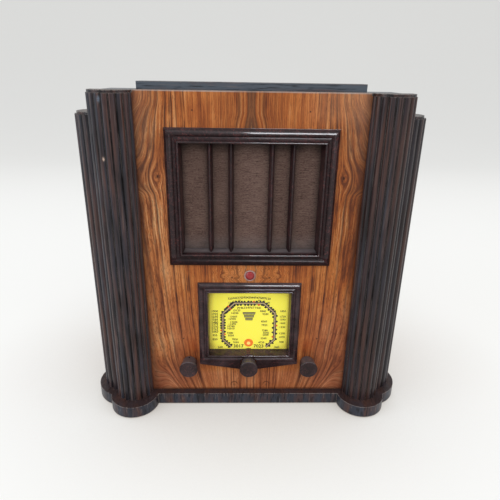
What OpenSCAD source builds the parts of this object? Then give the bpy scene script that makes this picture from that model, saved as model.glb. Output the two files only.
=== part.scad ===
// Table radio receiver: a stepped wooden cabinet with reeded double columns on a lobed plinth,
// a moulded speaker grille, a lit dial and a ganged tuning capacitor with a friction drive.
// Millimetres. +Z is up, the front faces -Y, and the felt pads stand on Z = 0.

/* [Cabinet] */
// Width of the front panel that shows between the two front columns
panel_show_w = 307; // [290:1:330]
// Height of the front panel and the front columns above the surface
front_h = 483; // [474:1:500]
// Gap between the top of the speaker frame and the underside of the roof
roof_gap = 5.4; // [1:0.1:9]
// Depth from the face of the front panel to the rear edge of the cabinet
body_d = 245; // [243:1:290]
// Thickness of the side walls and the roof
wall_t = 12; // [9:0.5:15]
// Thickness of the front panel
panel_t = 12; // [10:0.5:13]
// How far the block on the crown rises above the front panel
block_rise = 10; // [6:1:20]
// Distance from the panel's face back to the block
block_setback = 30; // [16:1:40]
// Distance from the panel's face back to the rear of the raised crown
crown_d = 60; // [50:1:90]
// How far the crown stops short of each side wall
crown_inset = 8; // [4:1:20]
// Thickness of the pressboard back
back_t = 4; // [3:0.5:5]
// Width of the rebate that holds the back
back_ledge = 6; // [5:0.5:8]

/* [Columns] */
// Radius of the front columns over their reeds
column_r = 29; // [26:0.5:32]
// Reeds across the half circle of a front column
column_reeds = 9; // [7:1:11]
// Radius of one reed of a front column
reed_r = 4.9; // [4.5:0.1:5.5]
// Thickness of the flat caps on the front columns
cap_t = 3.5; // [2:0.5:6]
// How far the caps stand in from the reeds
cap_inset = 1.5; // [0.5:0.25:3]
// How far the side columns' caps stand in from their reeds
side_cap_inset = 3; // [1:0.25:4]
// Radius of the side columns over their reeds
side_column_r = 40; // [36:0.5:44]
// Reeds across the half circle of a side column
side_reeds = 10; // [8:1:12]
// Radius of one reed of a side column
side_reed_r = 6.6; // [6.2:0.1:7.4]
// Distance from the panel's face back to the axis of the side columns
side_column_y = 35; // [30:1:45]
// How far the side columns' axis lies inside the side wall's outer face
side_sink = 4.5; // [2:0.5:8]
// How far a front column stands out past the side wall
wall_lap = 7.5; // [5:0.5:10]

/* [Plinth] */
// Thickness of the plinth
plinth_t = 18.5; // [14:0.5:24]
// How far the plinth stands out in front of the panel
plinth_lead = 12; // [8:0.5:18]
// How far the lobes stand out round the columns
lobe_margin = 8.5; // [6:0.5:12]
// How far the front lobes' centres stand in front of the panel's face
lobe_lead = 8; // [4:0.5:12]
// Thickness of the felt pads
pad_t = 2; // [1:0.25:4]

/* [Speaker] */
// Width of the moulded speaker frame
grille_w = 233; // [224:1:240]
// Height of the moulded speaker frame
grille_h = 195; // [188:1:200]
// Width of the frame's mitred members
grille_member = 19.5; // [17:0.5:21]
// How far the frame's inner lip stands in front of the panel
grille_lip = 9.5; // [7:0.5:12]
// Width of each of the four upright bars at its front
bar_w = 3; // [2:0.25:5]
// Width of a bar where it meets the cloth
bar_base_w = 7.5; // [5:0.25:8]
// Distance from the middle to the inner pair of bars
inner_bar_x = 28; // [22:0.5:34]
// Distance from the middle to the outer pair of bars
outer_bar_x = 57; // [48:0.5:66]

/* [Dial] */
// Width of the moulded dial frame
dial_w = 155; // [145:1:160]
// Height of the straight part of the dial frame
dial_h = 139.4; // [134:0.2:142]
// Width of the dial frame's members
dial_member = 15; // [13:0.5:17]
// How far the dial frame's lip stands in front of the panel
dial_lip = 7; // [5:0.5:9]
// How far the point of the dial frame hangs below its straight part
dial_point = 14.8; // [14:0.2:18]
// Height of the band of panel between the two moulded frames
jewel_band = 28.6; // [26:0.2:32]
// Radius of the jewel's bezel
jewel_r = 8.6; // [7.5:0.1:10]

/* [Controls] */
// Distance from the middle to the two outer controls
control_x = 93.7; // [86:0.5:100]
// Radius of a knob at its front
knob_r = 14.2; // [13:0.1:14.5]
// Radius of a knob at its back
knob_back_r = 11.2; // [9:0.1:11.5]
// How far the knobs' fronts stand in front of the panel
knob_reach = 22.2; // [18:0.2:28]
// Radius of the control shafts
shaft_r = 3; // [2.5:0.25:3.5]

/* [Chassis] */
// Width of the steel chassis
chassis_w = 340; // [330:1:360]
// Thickness of the chassis steel
steel_t = 1.5; // [1:0.25:2]
// Distance from the panel's face back to the chassis
chassis_y = 40; // [39:0.5:42]
// Radius of the valves' glass
valve_r = 19; // [15:0.5:21]
// Vanes in each section of the tuning capacitor
vane_count = 8; // [4:1:8]
// Radius of the rotor's vanes
vane_r = 21; // [17:0.5:22]

/* [Hidden] */
$fn = 64;

// Clearances
fit = 0.05;
slip = 0.3;
through = 1;

// Heights on the front panel
plinth_top = pad_t + plinth_t;
spare_h = front_h - plinth_top - dial_h - dial_point - jewel_band - grille_h;
top_share = 0.54;
speaker_z = front_h - top_share * spare_h - grille_h / 2;
dial_bottom = plinth_top + (1 - top_share) * spare_h + dial_point;
dial_mid_z = dial_bottom + dial_h / 2;
jewel_z = dial_mid_z + dial_h / 2 + 0.42 * jewel_band;
control_z = dial_bottom - 0.8;
gang_z = dial_mid_z - 10.4;
gang_axis_h = 28.5;
deck_z = gang_z - gang_axis_h;
roof_under = speaker_z + grille_h / 2 + roof_gap;
roof_h = roof_under + wall_t;

// Cabinet outline
column_x = panel_show_w / 2 + column_r;
body_w = 2 * (column_x + column_r - wall_lap);
panel_lap = 1.5;
panel_half = column_x + column_r - panel_lap;
side_column_x = body_w / 2 - side_sink;
cap_z = front_h - cap_t;
side_cap_z = roof_h - cap_t;
block_end = 1;
front_reach = lobe_lead + column_r + lobe_margin;
panel_y = (front_reach - body_d) / 2;
reed_sink = 1.5;
side_lobe_lead = 4;
pad_r = 12;
pad_in = 26;
batten = 15;

// Back cover
back_sink = 2;
back_y = body_d - back_sink - back_t;
back_play = 0.4;
screw_r = 1.4;
screw_play = 0.2;
screw_head_r = 2.7;
screw_len = 12;
screw_slot = 0.7;
slot_w = 5;
slot_h = 36;
slot_pitch = 17;
slot_row = slot_h + 14;

// Speaker
frame_edge = 2;
grille_taper = 2;
lip_r = 1.7;
sleeve_t = 2.4;
sleeve_gap = 0.5;
cloth_t = 1;
cloth_margin = 9;
cloth_end = 12.5;
baffle_t = 8;
baffle_margin = 8;
baffle_end = 1.5;
basket_r = 0.472 * grille_h;
bar_front = 0;
bar_sink = 1.6;
cloth_y = panel_t;
baffle_y = cloth_y + cloth_t;
ring_y = baffle_y + baffle_t;
ring_t = 2.5;
ring_w = 13;
basket_lip = 9;
cone_r = basket_r - ring_w - slip;
cone_depth = 0.39 * basket_r;
cone_t = 1;
coil_r = 13;
coil_wall = 0.8;
pole_r = coil_r - coil_wall - 0.5;
magnet_r = 0.413 * basket_r;
magnet_len = 0.543 * basket_r;
magnet_y = ring_y + 0.565 * basket_r;
plate_t = 6;
basket_bolt_r = basket_r - 5;
output_w = 34;
output_h = 28;
output_t = 20;
output_coil = 6;

// Dial
point_t = 3;
dial_taper = 0.8;
dial_sleeve_t = 2.2;
dial_lip_r = 1.4;
dial_shoulder = 2.8;
knob_hole_r = knob_r - 1.5;
boss_r = 11;
boss_top = 18.1;
boss_z = control_z + boss_top - boss_r;
glass_t = 2;
scale_t = 1.2;
scale_y = panel_t;
scale_margin = 12;
lens_r = jewel_r - 1.8;
jewel_neck = 6.6;

// Lamps
lamp_r = 5.5;
lamp_cap_r = 5;
lamp_len = 24.5;
lamp_up = 36;
lamp_y = 22;
bracket_x = dial_w / 2 - dial_member + scale_margin + 1.5;
bracket_half = 9;
bracket_t = 1.5;
bracket_foot = 14;
pilot_setback = 26;
pilot_y = panel_t + pilot_setback;

// Chassis
chassis_back = back_y - 3;
function deck_y(share) = chassis_y + share * (chassis_back - chassis_y);
flange_w = 14;
bolt_r = 2.5;
bolt_head_r = 5.5;
bolt_head_t = 4;
bolt_in = 30;
socket_r = 13;
socket_t = 8;
valve_places = [[-60, deck_y(0.842)], [-60, deck_y(0.571)], [62, deck_y(0.265)],
                [115, deck_y(0.418)], [115, deck_y(0.816)]];
can_places = [[62, deck_y(0.561)], [62, deck_y(0.842)]];
base_r = 15;
base_h = 30;
bulb_h = 62;
can_w = 34;
can_h = 78;
smoothing_r = 17;
smoothing_h = 85;
smoothing_y = chassis_y + smoothing_r + 5;
smoothing_places = [[-125, smoothing_y], [-125, smoothing_y + 2 * smoothing_r + 7]];
core_x = -125;
core_y = deck_y(0.7245);
core_t = 30;
core_w = 75;
core_h = 62;
leg_w = 12.5;

// Tuning drive
disc_y = 30;
disc_t = 1.2;
wheel_hub_r = 6;
wheel_r = 8.6;
disc_r = gang_z - control_z - wheel_hub_r - 0.2;
gang_y = 48;
gang_len = 69;
gang_half = 27;
gang_shaft_r = 4;
gang_hub_r = 6;
vane_t = 0.8;
vane_pitch = 3.2;
vane_first = [gang_y + 6, gang_y + gang_len / 2 + 4.5];
stator_gap = 2;
rod_r = 1.5;
arm_y = 16;
arm_len = 38;

// Controls
bush_r = 4.8;
nut_r = 8;
skirt_y = chassis_y + steel_t;
pot_r = 14;
pot_len = 16;
wafer_r = 17;
wafer_ys = [13, 26];
grub_r = 1.6;
grub_y = 6;
knob_round = 1.8;
shaft_front = 4 - knob_reach;

// Rear connections
strip_t = 2;
strip_w = 66;
strip_h = 20;
strip_x = 90;
strip_z = 60;
plug_r = 2;
tube_r = 3;
socket_xs = [-20, 0, 20];
inlet_x = -130;
inlet_z = 50;
cord_r = 3.5;
grommet_r = 7;

walnut = "#8a4b22";
rosewood = "#2e2220";
bakelite = "#3a231c";
steel = "#8d9298";
brass = "#b08d4a";
paxolin = "#6a4324";
glass = "#c9d6d8";

// Moves a piece from the panel's own frame to the middle of the whole set.
module place() {
    translate([0, panel_y, 0]) children();
}

// A bar along +Y from y0 to y1.
module rod(x, z, r, y0, y1) {
    translate([x, y0, z]) rotate([-90, 0, 0]) cylinder(r = r, h = y1 - y0);
}

// A box between two corners.
module box(low, high) {
    translate(low) cube(high - low);
}

// A plate in the X-Z plane from y0 to y1.
module plate(y0, y1) {
    translate([0, y1, 0]) rotate([90, 0, 0]) linear_extrude(y1 - y0) children();
}

// A rectangle centred on the middle, from height z0 to z1.
module pane(half, z0, z1) {
    translate([-half, z0]) square([2 * half, z1 - z0]);
}

// A round section whose outside is a row of reeds from angle a0 over half a turn.
module reeded_half(r, reed, count, a0) {
    circle(r = r - reed + reed_sink);
    pitch = 180 / count;
    for (i = [0:count - 1])
        rotate(a0 + pitch * (i + 0.5)) translate([r - reed, 0]) circle(r = reed);
}

// Four mitred members round a w by h rectangle. The child is their section: +x inwards, +y forwards.
module mitred_frame(w, h, reach) {
    depth = 3 * reach;
    for (turn = [0:3]) {
        long = turn % 2 == 0 ? w : h;
        short = turn % 2 == 0 ? h : w;
        rotate(90 * turn) intersection() {
            translate([-long / 2, -short / 2, 0])
                rotate([90, 0, 90]) linear_extrude(long) children();
            translate([0, 0, -depth / 2]) linear_extrude(depth)
                polygon([[-long / 2, -short / 2], [long / 2, -short / 2],
                         [long / 2 - reach, -short / 2 + reach],
                         [-long / 2 + reach, -short / 2 + reach]]);
        }
    }
}

// The section of a moulded frame: a broad roll at the outer edge, a crease, a hollow that climbs to
// a round lip, and a sleeve through the panel.
module moulding(member, lip, nose, taper, sleeve) {
    back = panel_t - sleeve_gap;
    roll = 0.34 * member;
    hollow = 0.75 * lip;
    difference() {
        polygon([[0, 0], [0, frame_edge], [0.56 * member, 0.44 * lip], [member - nose, lip],
                 [member, lip - nose], [member + taper, -back], [member - sleeve, -back],
                 [member - sleeve, 0]]);
        translate([0.533 * member, 1.174 * lip]) circle(r = hollow);
    }
    translate([member - nose, lip - nose]) circle(r = nose);
    intersection() {
        translate([0.325 * member, 0.64 * lip - roll]) circle(r = roll);
        square([member, lip]);
    }
}

module plinth_outline() {
    translate([-body_w / 2, -plinth_lead]) square([body_w, plinth_lead + body_d]);
    for (side = [-1, 1]) {
        translate([side * column_x, -lobe_lead]) circle(r = column_r + lobe_margin);
        translate([side * side_column_x, side_column_y - side_lobe_lead])
            circle(r = side_column_r + lobe_margin);
    }
}

module plinth() {
    color(rosewood) place() difference() {
        translate([0, 0, pad_t]) linear_extrude(plinth_t) plinth_outline();
        for (p = bolt_places()) translate([p[0], p[1], pad_t - through]) {
            cylinder(r = bolt_r + fit, h = plinth_t + 2 * through);
            cylinder(r = bolt_head_r + 1, h = plinth_t / 2 + through);
        }
    }
}

module floor_pads() {
    color("#3b3b38") place() for (side = [-1, 1]) {
        translate([side * column_x, -lobe_lead, 0]) cylinder(r = pad_r, h = pad_t);
        translate([side * (body_w / 2 - pad_in), body_d - pad_in, 0]) cylinder(r = pad_r, h = pad_t);
    }
}

// Right wall; the left one is its mirror image.
module side_wall() {
    color(walnut) place() difference() {
        box([body_w / 2 - wall_t, panel_t, plinth_top], [body_w / 2, body_d, roof_under]);
        box([0, back_y, 0], [body_w / 2 - wall_t + back_ledge, body_d + through, roof_h]);
        for (z = back_screw_zs()) rod(back_screw_x(), z, screw_r + screw_play, back_y - screw_len - 1, body_d);
    }
}
module side_wall_right() { side_wall(); }
module side_wall_left() { mirror([1, 0, 0]) side_wall(); }

module roof_board() {
    color(walnut) place() difference() {
        box([-body_w / 2, panel_t, roof_under], [body_w / 2, body_d, roof_h]);
        box([-body_w / 2 + wall_t - back_ledge, back_y, 0],
            [body_w / 2 - wall_t + back_ledge, body_d + through, roof_under + back_ledge]);
    }
}

module crown_rail() {
    color(rosewood) place()
        box([-body_w / 2 + crown_inset, panel_t, roof_h], [body_w / 2 - crown_inset, crown_d, front_h]);
}

module top_block() {
    color(rosewood) place()
        box([-panel_show_w / 2 - block_end, block_setback, front_h],
            [panel_show_w / 2 + block_end, crown_d, front_h + block_rise]);
}

// The hole in the panel round the sleeve of a moulded frame.
module sleeve_hole(w, h, mid, member, sleeve) {
    half = w / 2 - member + sleeve + slip;
    high = h / 2 - member + sleeve + slip;
    pane(half, mid - high, mid + high);
}

module front_panel() {
    color(walnut) place() difference() {
        plate(0, panel_t) difference() {
            union() {
                pane(panel_half, plinth_top, cap_z);
                pane(panel_show_w / 2, plinth_top, front_h);
            }
            sleeve_hole(grille_w, grille_h, speaker_z, grille_member, sleeve_t);
            sleeve_hole(dial_w, dial_h, dial_mid_z, dial_member, dial_sleeve_t);
        }
        for (x = [-control_x, 0, control_x]) rod(x, control_z, bush_r + 1, -through, panel_t + through);
        rod(0, jewel_z, jewel_neck + slip, -through, panel_t + through);
    }
}

// Right front column; the left one is its mirror image.
module front_column() {
    color(rosewood) place() translate([column_x, 0, plinth_top])
        linear_extrude(cap_z - plinth_top) intersection() {
            reeded_half(column_r, reed_r, column_reeds, 180);
            translate([-column_r, -column_r]) square([2 * column_r, column_r]);
        }
}
module front_column_right() { front_column(); }
module front_column_left() { mirror([1, 0, 0]) front_column(); }

module column_caps() {
    cap_r = column_r - cap_inset;
    color(rosewood) place() for (side = [-1, 1])
        translate([side * column_x, 0, cap_z]) linear_extrude(cap_t) union() {
            intersection() {
                circle(r = cap_r);
                translate([-cap_r, -cap_r]) square([2 * cap_r, cap_r]);
            }
            inner = side > 0 ? -column_r : -cap_r;
            translate([inner, 0]) square([column_r + cap_r, panel_t]);
        }
    color(rosewood) place() translate([0, 0, side_cap_z]) linear_extrude(cap_t) for (side = [0, 1])
        mirror([side, 0]) beside_wall() translate([side_column_x, side_column_y])
            circle(r = side_column_r - side_cap_inset);
}

// What the wall, the panel and the front column take from the section of a side column.
module beside_wall() {
    difference() {
        children();
        translate([0, -body_d]) square([body_w / 2, 2 * body_d]);
        translate([0, -body_d]) square([panel_half, body_d + panel_t]);
        translate([column_x, 0]) circle(r = column_r + slip);
    }
}

// Right side column; the left one is its mirror image.
module side_column() {
    color(rosewood) place() translate([0, 0, plinth_top])
        linear_extrude(side_cap_z - plinth_top) beside_wall() translate([side_column_x, side_column_y])
            reeded_half(side_column_r, side_reed_r, side_reeds, -90);
}
module side_column_right() { side_column(); }
module side_column_left() { mirror([1, 0, 0]) side_column(); }

// Glue blocks in the four upright corners.
module corner_battens() {
    wall_in = body_w / 2 - wall_t;
    color("#b58a5a") place() for (side = [-1, 1], y = [panel_t, back_y - batten])
        translate([side > 0 ? wall_in - batten : -wall_in, y, plinth_top])
            cube([batten, batten, roof_under - plinth_top]);
}

function back_screw_x() = body_w / 2 - wall_t + back_ledge / 2;
function back_screw_zs() = [plinth_top + 25, (plinth_top + roof_under) / 2, roof_under - 25];

module vent_rows(z0, rows) {
    across = floor((body_w / 2 - 60) / slot_pitch);
    for (row = [0:rows - 1], i = [-across:across])
        translate([i * slot_pitch - slot_w / 2, z0 + row * slot_row]) square([slot_w, slot_h]);
}

module back_cover() {
    half = body_w / 2 - wall_t + back_ledge - back_play;
    color("#6f5136") place() difference() {
        plate(back_y, back_y + back_t) difference() {
            pane(half, plinth_top + back_play, roof_under + back_ledge - back_play);
            vent_rows(deck_z + bulb_h + 3, 2);
            vent_rows(roof_under - 3 * slot_h, 1);
            translate([strip_x, strip_z]) square([strip_w - 8, strip_h - 4], center = true);
        }
        rod(inlet_x, inlet_z, grommet_r + 2.5, back_y - through, body_d);
        for (side = [-1, 1], z = back_screw_zs())
            rod(side * back_screw_x(), z, screw_r + screw_play, back_y - through, body_d);
    }
}

module back_screws() {
    head_y = body_d - 0.4;
    color(brass) place() for (side = [-1, 1], z = back_screw_zs()) {
        x = side * back_screw_x();
        rod(x, z, screw_r, back_y - screw_len, back_y + back_t);
        difference() {
            rod(x, z, screw_head_r, back_y + back_t, head_y);
            box([x - screw_head_r, head_y - screw_slot, z - screw_slot / 2],
                [x + screw_head_r, head_y + 1, z + screw_slot / 2]);
        }
    }
}

module speaker_frame() {
    color(bakelite) place() {
        translate([0, 0, speaker_z]) rotate([90, 0, 0])
            mitred_frame(grille_w, grille_h, grille_member + grille_taper)
                moulding(grille_member, grille_lip, lip_r, grille_taper, sleeve_t);
        half = grille_h / 2 - grille_member + bar_sink;
        for (x = [-outer_bar_x, -inner_bar_x, inner_bar_x, outer_bar_x])
            translate([x, 0, speaker_z - half]) linear_extrude(2 * half) bar_section();
    }
}

// A bar of the speaker frame: a narrow round front on two slopes.
module bar_section() {
    back = panel_t - sleeve_gap;
    middle = bar_front + bar_w / 2;
    polygon([[-0.48 * bar_w, middle], [0.48 * bar_w, middle], [bar_base_w / 2, back],
             [-bar_base_w / 2, back]]);
    translate([0, middle]) circle(r = bar_w / 2);
}

module speaker_cloth() {
    high = grille_h / 2 - cloth_end;
    color("#5b4a3d") place() plate(cloth_y, cloth_y + cloth_t)
        pane(grille_w / 2 - cloth_margin, speaker_z - high, speaker_z + high);
}

module baffle_board() {
    half = grille_w / 2 + baffle_margin;
    high = grille_h / 2 - baffle_end;
    color("#a07a4c") place() difference() {
        plate(baffle_y, baffle_y + baffle_t) difference() {
            pane(half, speaker_z - high, speaker_z + high);
            translate([0, speaker_z]) circle(r = basket_r - ring_w);
        }
        basket_bolts(bolt_r - 0.5 + fit, baffle_y - through, baffle_y + baffle_t + through);
    }
}

module basket_bolts(r, y0, y1) {
    for (a = [45:90:315])
        rod(basket_bolt_r * cos(a), speaker_z + basket_bolt_r * sin(a), r, y0, y1);
}

// A turned shape about the speaker's axis. The child lies in x = radius, y = distance behind the panel.
module turned(z) {
    translate([0, 0, z]) rotate([-90, 0, 0]) rotate_extrude($fn = 96) children();
}

module speaker_basket() {
    wall = 1.5;
    inner = basket_r - ring_w;
    rear = magnet_r + 4;
    color(steel) place() difference() {
        turned(speaker_z) {
            translate([inner, ring_y]) square([ring_w, ring_t]);
            polygon([[inner, ring_y], [inner + wall, ring_y], [inner + wall, ring_y + basket_lip],
                     [rear + wall, magnet_y], [rear, magnet_y], [inner, ring_y + basket_lip]]);
            translate([coil_r + 2, magnet_y - wall]) square([rear + wall - coil_r - 2, wall]);
        }
        for (a = [0:60:300]) translate([0, 0, speaker_z]) rotate([0, a, 0])
            box([rear + 7, ring_y + basket_lip + 2, -16], [basket_r, magnet_y - 5, 16]);
        basket_bolts(bolt_r - 0.5 + fit, ring_y - through, ring_y + ring_t + through);
    }
}

module speaker_bolts() {
    color(brass) place() {
        basket_bolts(bolt_r - 0.5, baffle_y, ring_y + ring_t);
        basket_bolts(bolt_r + 1.5, ring_y + ring_t, ring_y + ring_t + 2.5);
    }
}

module speaker_magnet() {
    color(steel) place() turned(speaker_z) {
        translate([coil_r + 1, magnet_y]) square([magnet_r - coil_r - 1, plate_t]);
        translate([magnet_r - plate_t, magnet_y]) square([plate_t, magnet_len]);
        translate([0, magnet_y + magnet_len - plate_t]) square([magnet_r, plate_t]);
        translate([0, magnet_y]) square([pole_r, magnet_len]);
    }
}

module speaker_cone() {
    rim_y = ring_y + ring_t + 1.5;
    throat_y = rim_y + cone_depth;
    color("#4a4038") place() turned(speaker_z) {
        polygon([[cone_r - 2, rim_y], [cone_r, rim_y], [cone_r, rim_y + cone_t],
                 [coil_r + cone_t, throat_y + cone_t], [coil_r - coil_wall, throat_y + cone_t],
                 [coil_r - coil_wall, throat_y]]);
        translate([coil_r - coil_wall, throat_y]) square([coil_wall, magnet_y - throat_y + 4]);
        translate([0, throat_y]) square([coil_r, cone_t]);
    }
}

module output_transformer() {
    x0 = -grille_w / 2 - baffle_margin + 4;
    x1 = x0 + output_w;
    z0 = speaker_z - basket_r;
    z1 = z0 + output_h;
    y1 = ring_y + output_t;
    color("#5c5f63") place() {
        box([x0, ring_y, z0], [x1, y1, z1]);
        box([x0 + output_coil, y1, z0 + output_coil], [x1 - output_coil, y1 + 8, z1 - output_coil]);
    }
}

// Outline of the point that hangs below the dial frame.
module dial_point_outline() {
    polygon([[-dial_w / 2, dial_bottom + 5], [-dial_w / 2, dial_bottom - dial_shoulder],
             [0, dial_bottom - dial_point], [dial_w / 2, dial_bottom - dial_shoulder],
             [dial_w / 2, dial_bottom + 5]]);
}

module dial_escutcheon() {
    back = panel_t - sleeve_gap;
    floor_z = dial_bottom + dial_member - dial_sleeve_t;
    color(bakelite) place() {
        difference() {
            union() {
                translate([0, 0, dial_mid_z]) rotate([90, 0, 0])
                    mitred_frame(dial_w, dial_h, dial_member + dial_taper)
                        moulding(dial_member, dial_lip, dial_lip_r, dial_taper, dial_sleeve_t);
                plate(-point_t, 0) dial_point_outline();
            }
            rod(0, control_z, knob_hole_r, -dial_lip - through, 0);
        }
        intersection() {
            rod(0, boss_z, boss_r, 1.5 - dial_lip, back);
            box([-boss_r, -dial_lip, floor_z], [boss_r, back, dial_mid_z]);
        }
    }
}

module dial_pane(grow) {
    half = dial_w / 2 - dial_member + grow;
    high = dial_h / 2 - dial_member + grow;
    pane(half, dial_mid_z - high, dial_mid_z + high);
}

module dial_glass() {
    glass_y = panel_t - sleeve_gap - glass_t;
    color(glass) place() difference() {
        plate(glass_y, glass_y + glass_t) dial_pane(-dial_taper - slip);
        rod(0, boss_z, boss_r + slip, 0, panel_t);
    }
}

module dial_scale() {
    color("#e6dd6a") place() plate(scale_y, scale_y + scale_t) dial_pane(scale_margin);
}

module lamp_brackets() {
    lamp_z = gang_z + lamp_up;
    foot = bracket_x + bracket_foot;
    web_y = lamp_y + bracket_half - 1;
    shelf_z = jewel_z - bracket_half - 3;
    color(brass) place() {
        for (side = [0, 1]) mirror([side, 0, 0]) difference() {
            union() {
                box([bracket_x, scale_y + scale_t, lamp_z - bracket_half],
                    [bracket_x + bracket_t, web_y, lamp_z + bracket_half]);
                box([bracket_x, panel_t, lamp_z - bracket_half],
                    [foot, scale_y + scale_t, lamp_z + bracket_half]);
            }
            translate([0, lamp_y, lamp_z]) rotate([0, 90, 0])
                cylinder(r = lamp_cap_r + fit, h = 2 * bracket_x);
        }
        difference() {
            box([1 - bracket_half, pilot_y, shelf_z], [bracket_half - 1, pilot_y + bracket_t, jewel_z + 8]);
            rod(0, jewel_z, lamp_cap_r + fit, panel_t, 2 * pilot_y);
        }
        box([1 - bracket_half, panel_t, shelf_z - bracket_t],
            [bracket_half - 1, pilot_y + bracket_t, shelf_z]);
    }
}

module lamp() {
    rotate_extrude() {
        square([lamp_cap_r, lamp_len / 2]);
        translate([0, lamp_len / 2]) square([lamp_r - 1, lamp_r]);
        translate([0, lamp_len - lamp_r]) intersection() {
            circle(r = lamp_r);
            translate([0, -lamp_r]) square([lamp_r, 2 * lamp_r]);
        }
    }
}

module lamps() {
    lamp_z = gang_z + lamp_up;
    color("#f0e6c0") place() {
        for (side = [-1, 1]) translate([side * (bracket_x + 2), lamp_y, lamp_z])
            rotate([0, -90 * side, 0]) lamp();
        translate([0, pilot_y + 4, jewel_z]) rotate([90, 0, 0]) lamp();
    }
}

module jewel_bezel() {
    color("#c8b8a4") place() turned(jewel_z) {
        translate([lens_r, -2]) square([jewel_r - lens_r, 2]);
        translate([lens_r + 0.1, -2]) circle(r = 0.1);
        translate([jewel_neck - 1.2, 0]) square([1.2, panel_t - 1]);
        translate([jewel_neck - 1.2, -0.6]) square([jewel_r - jewel_neck + 1.2, 0.6]);
    }
}

module jewel_lens() {
    seat = -0.6;
    dome = lens_r * 1.25;
    rise = dome - sqrt(dome * dome - (lens_r - slip) * (lens_r - slip));
    color("#a01818") place() turned(jewel_z) intersection() {
        translate([0, seat - 1.4 - rise + dome]) circle(r = dome);
        translate([0, seat - 1.4 - rise]) square([lens_r - slip, 1.4 + rise]);
    }
}

function bolt_places() = [for (x = [-1, 1], y = [chassis_y + bolt_in, chassis_back - bolt_in])
    [x * (chassis_w / 2 - flange_w / 2 - 2), y]];

module chassis_deck() {
    color(steel) place() difference() {
        box([-chassis_w / 2, chassis_y, deck_z - steel_t], [chassis_w / 2, chassis_back, deck_z]);
        for (p = valve_places) translate([p[0], p[1], deck_z - 10]) cylinder(r = socket_r + slip, h = 20);
    }
}

// Front and rear walls under the deck.
module chassis_aprons() {
    half = chassis_w / 2;
    under = deck_z - steel_t;
    rear_y = chassis_back - steel_t;
    color(steel) place() {
        difference() {
            box([-half, chassis_y, plinth_top], [half, skirt_y, under]);
            for (x = [-control_x, 0, control_x])
                rod(x, control_z, bush_r + fit, chassis_y - through, skirt_y + through);
        }
        difference() {
            box([-half, rear_y, plinth_top], [half, chassis_back, under]);
            for (x = socket_xs) rod(strip_x + x, strip_z, tube_r + 1.5, rear_y - through, body_d);
            rod(inlet_x, inlet_z, grommet_r - 2 + fit, rear_y - through, body_d);
        }
    }
}

// Side walls under the deck, with the flanges that are bolted to the plinth.
module chassis_sides() {
    half = chassis_w / 2;
    rear_y = chassis_back - steel_t;
    color(steel) place() for (side = [0, 1]) mirror([side, 0, 0]) difference() {
        union() {
            box([half - steel_t, skirt_y, plinth_top], [half, rear_y, deck_z - steel_t]);
            box([half - flange_w, skirt_y, plinth_top], [half, rear_y, plinth_top + steel_t]);
        }
        for (p = bolt_places()) translate([p[0], p[1], plinth_top - through])
            cylinder(r = bolt_r + fit, h = 10);
    }
}

module chassis_bolts() {
    head_z = pad_t + plinth_t / 2 - bolt_head_t;
    color(steel) place() for (p = bolt_places()) translate([p[0], p[1], head_z]) {
        cylinder(r = bolt_head_r, h = bolt_head_t);
        cylinder(r = bolt_r, h = bolt_head_t + plinth_t / 2 + steel_t + 4);
        translate([0, 0, bolt_head_t + plinth_t / 2 + steel_t]) cylinder(r = bolt_head_r - 1, h = 4, $fn = 6);
    }
}

// Stack of E and I stampings with two windows.
module transformer_core() {
    window_w = (core_w - 4 * leg_w) / 2;
    color("#4c4f55") place() translate([core_x, core_y, deck_z]) difference() {
        translate([-core_t / 2, -core_w / 2, 0]) cube([core_t, core_w, core_h]);
        for (side = [-1, 1])
            translate([-core_t, side > 0 ? leg_w : -leg_w - window_w, leg_w])
                cube([2 * core_t, window_w, core_h - 2 * leg_w]);
    }
}

module transformer_winding() {
    window_w = (core_w - 4 * leg_w) / 2;
    half = leg_w + window_w - slip;
    color("#7a3b22") place() translate([core_x, core_y, deck_z + leg_w + slip]) difference() {
        translate([-core_t / 2 - window_w, -half, 0])
            cube([core_t + 2 * window_w, 2 * half, core_h - 2 * leg_w - 2 * slip]);
        translate([-core_t / 2 - fit, -leg_w - fit, -through])
            cube([core_t + 2 * fit, 2 * leg_w + 2 * fit, core_h]);
    }
}

module valve_sockets() {
    color(paxolin) place() for (p = valve_places) translate([p[0], p[1], deck_z]) {
        cylinder(r = socket_r + 3.5, h = 3);
        translate([0, 0, -socket_t]) cylinder(r = socket_r, h = socket_t);
    }
}

module valve_bases() {
    color("#201a18") place() for (p = valve_places) translate([p[0], p[1], deck_z + 3])
        rotate_extrude() {
            square([base_r, base_h]);
            translate([0, base_h - 4]) square([base_r + 1, 4]);
        }
}

// Dome-topped glass with a shoulder above its base.
module valve_bulbs() {
    dome_r = valve_r * 0.62;
    body_h = bulb_h - valve_r - dome_r;
    color(glass) place() for (p = valve_places) translate([p[0], p[1], deck_z + 3 + base_h])
        rotate_extrude() {
            polygon([[0, 0], [base_r - 1, 0], [valve_r, valve_r * 0.7], [valve_r, valve_r * 0.7 + body_h],
                     [dome_r, bulb_h - dome_r], [0, bulb_h - dome_r]]);
            translate([0, bulb_h - dome_r]) intersection() {
                circle(r = dome_r);
                square(dome_r);
            }
        }
}

module if_cans() {
    color("#b9bcc0") place() for (p = can_places) translate([p[0] - can_w / 2, p[1] - can_w / 2, deck_z])
        difference() {
            cube([can_w, can_w, can_h]);
            for (x = [10, can_w - 10]) translate([x, can_w / 2, can_h - 6]) cylinder(r = 3, h = 10);
        }
}

module smoothing_cans() {
    color("#9a9da2") place() for (p = smoothing_places) translate([p[0], p[1], deck_z]) rotate_extrude() {
        square([smoothing_r, smoothing_h]);
        square([smoothing_r + 3, 2]);
        translate([0, smoothing_h]) square([smoothing_r - 3, 2]);
    }
}

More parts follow.
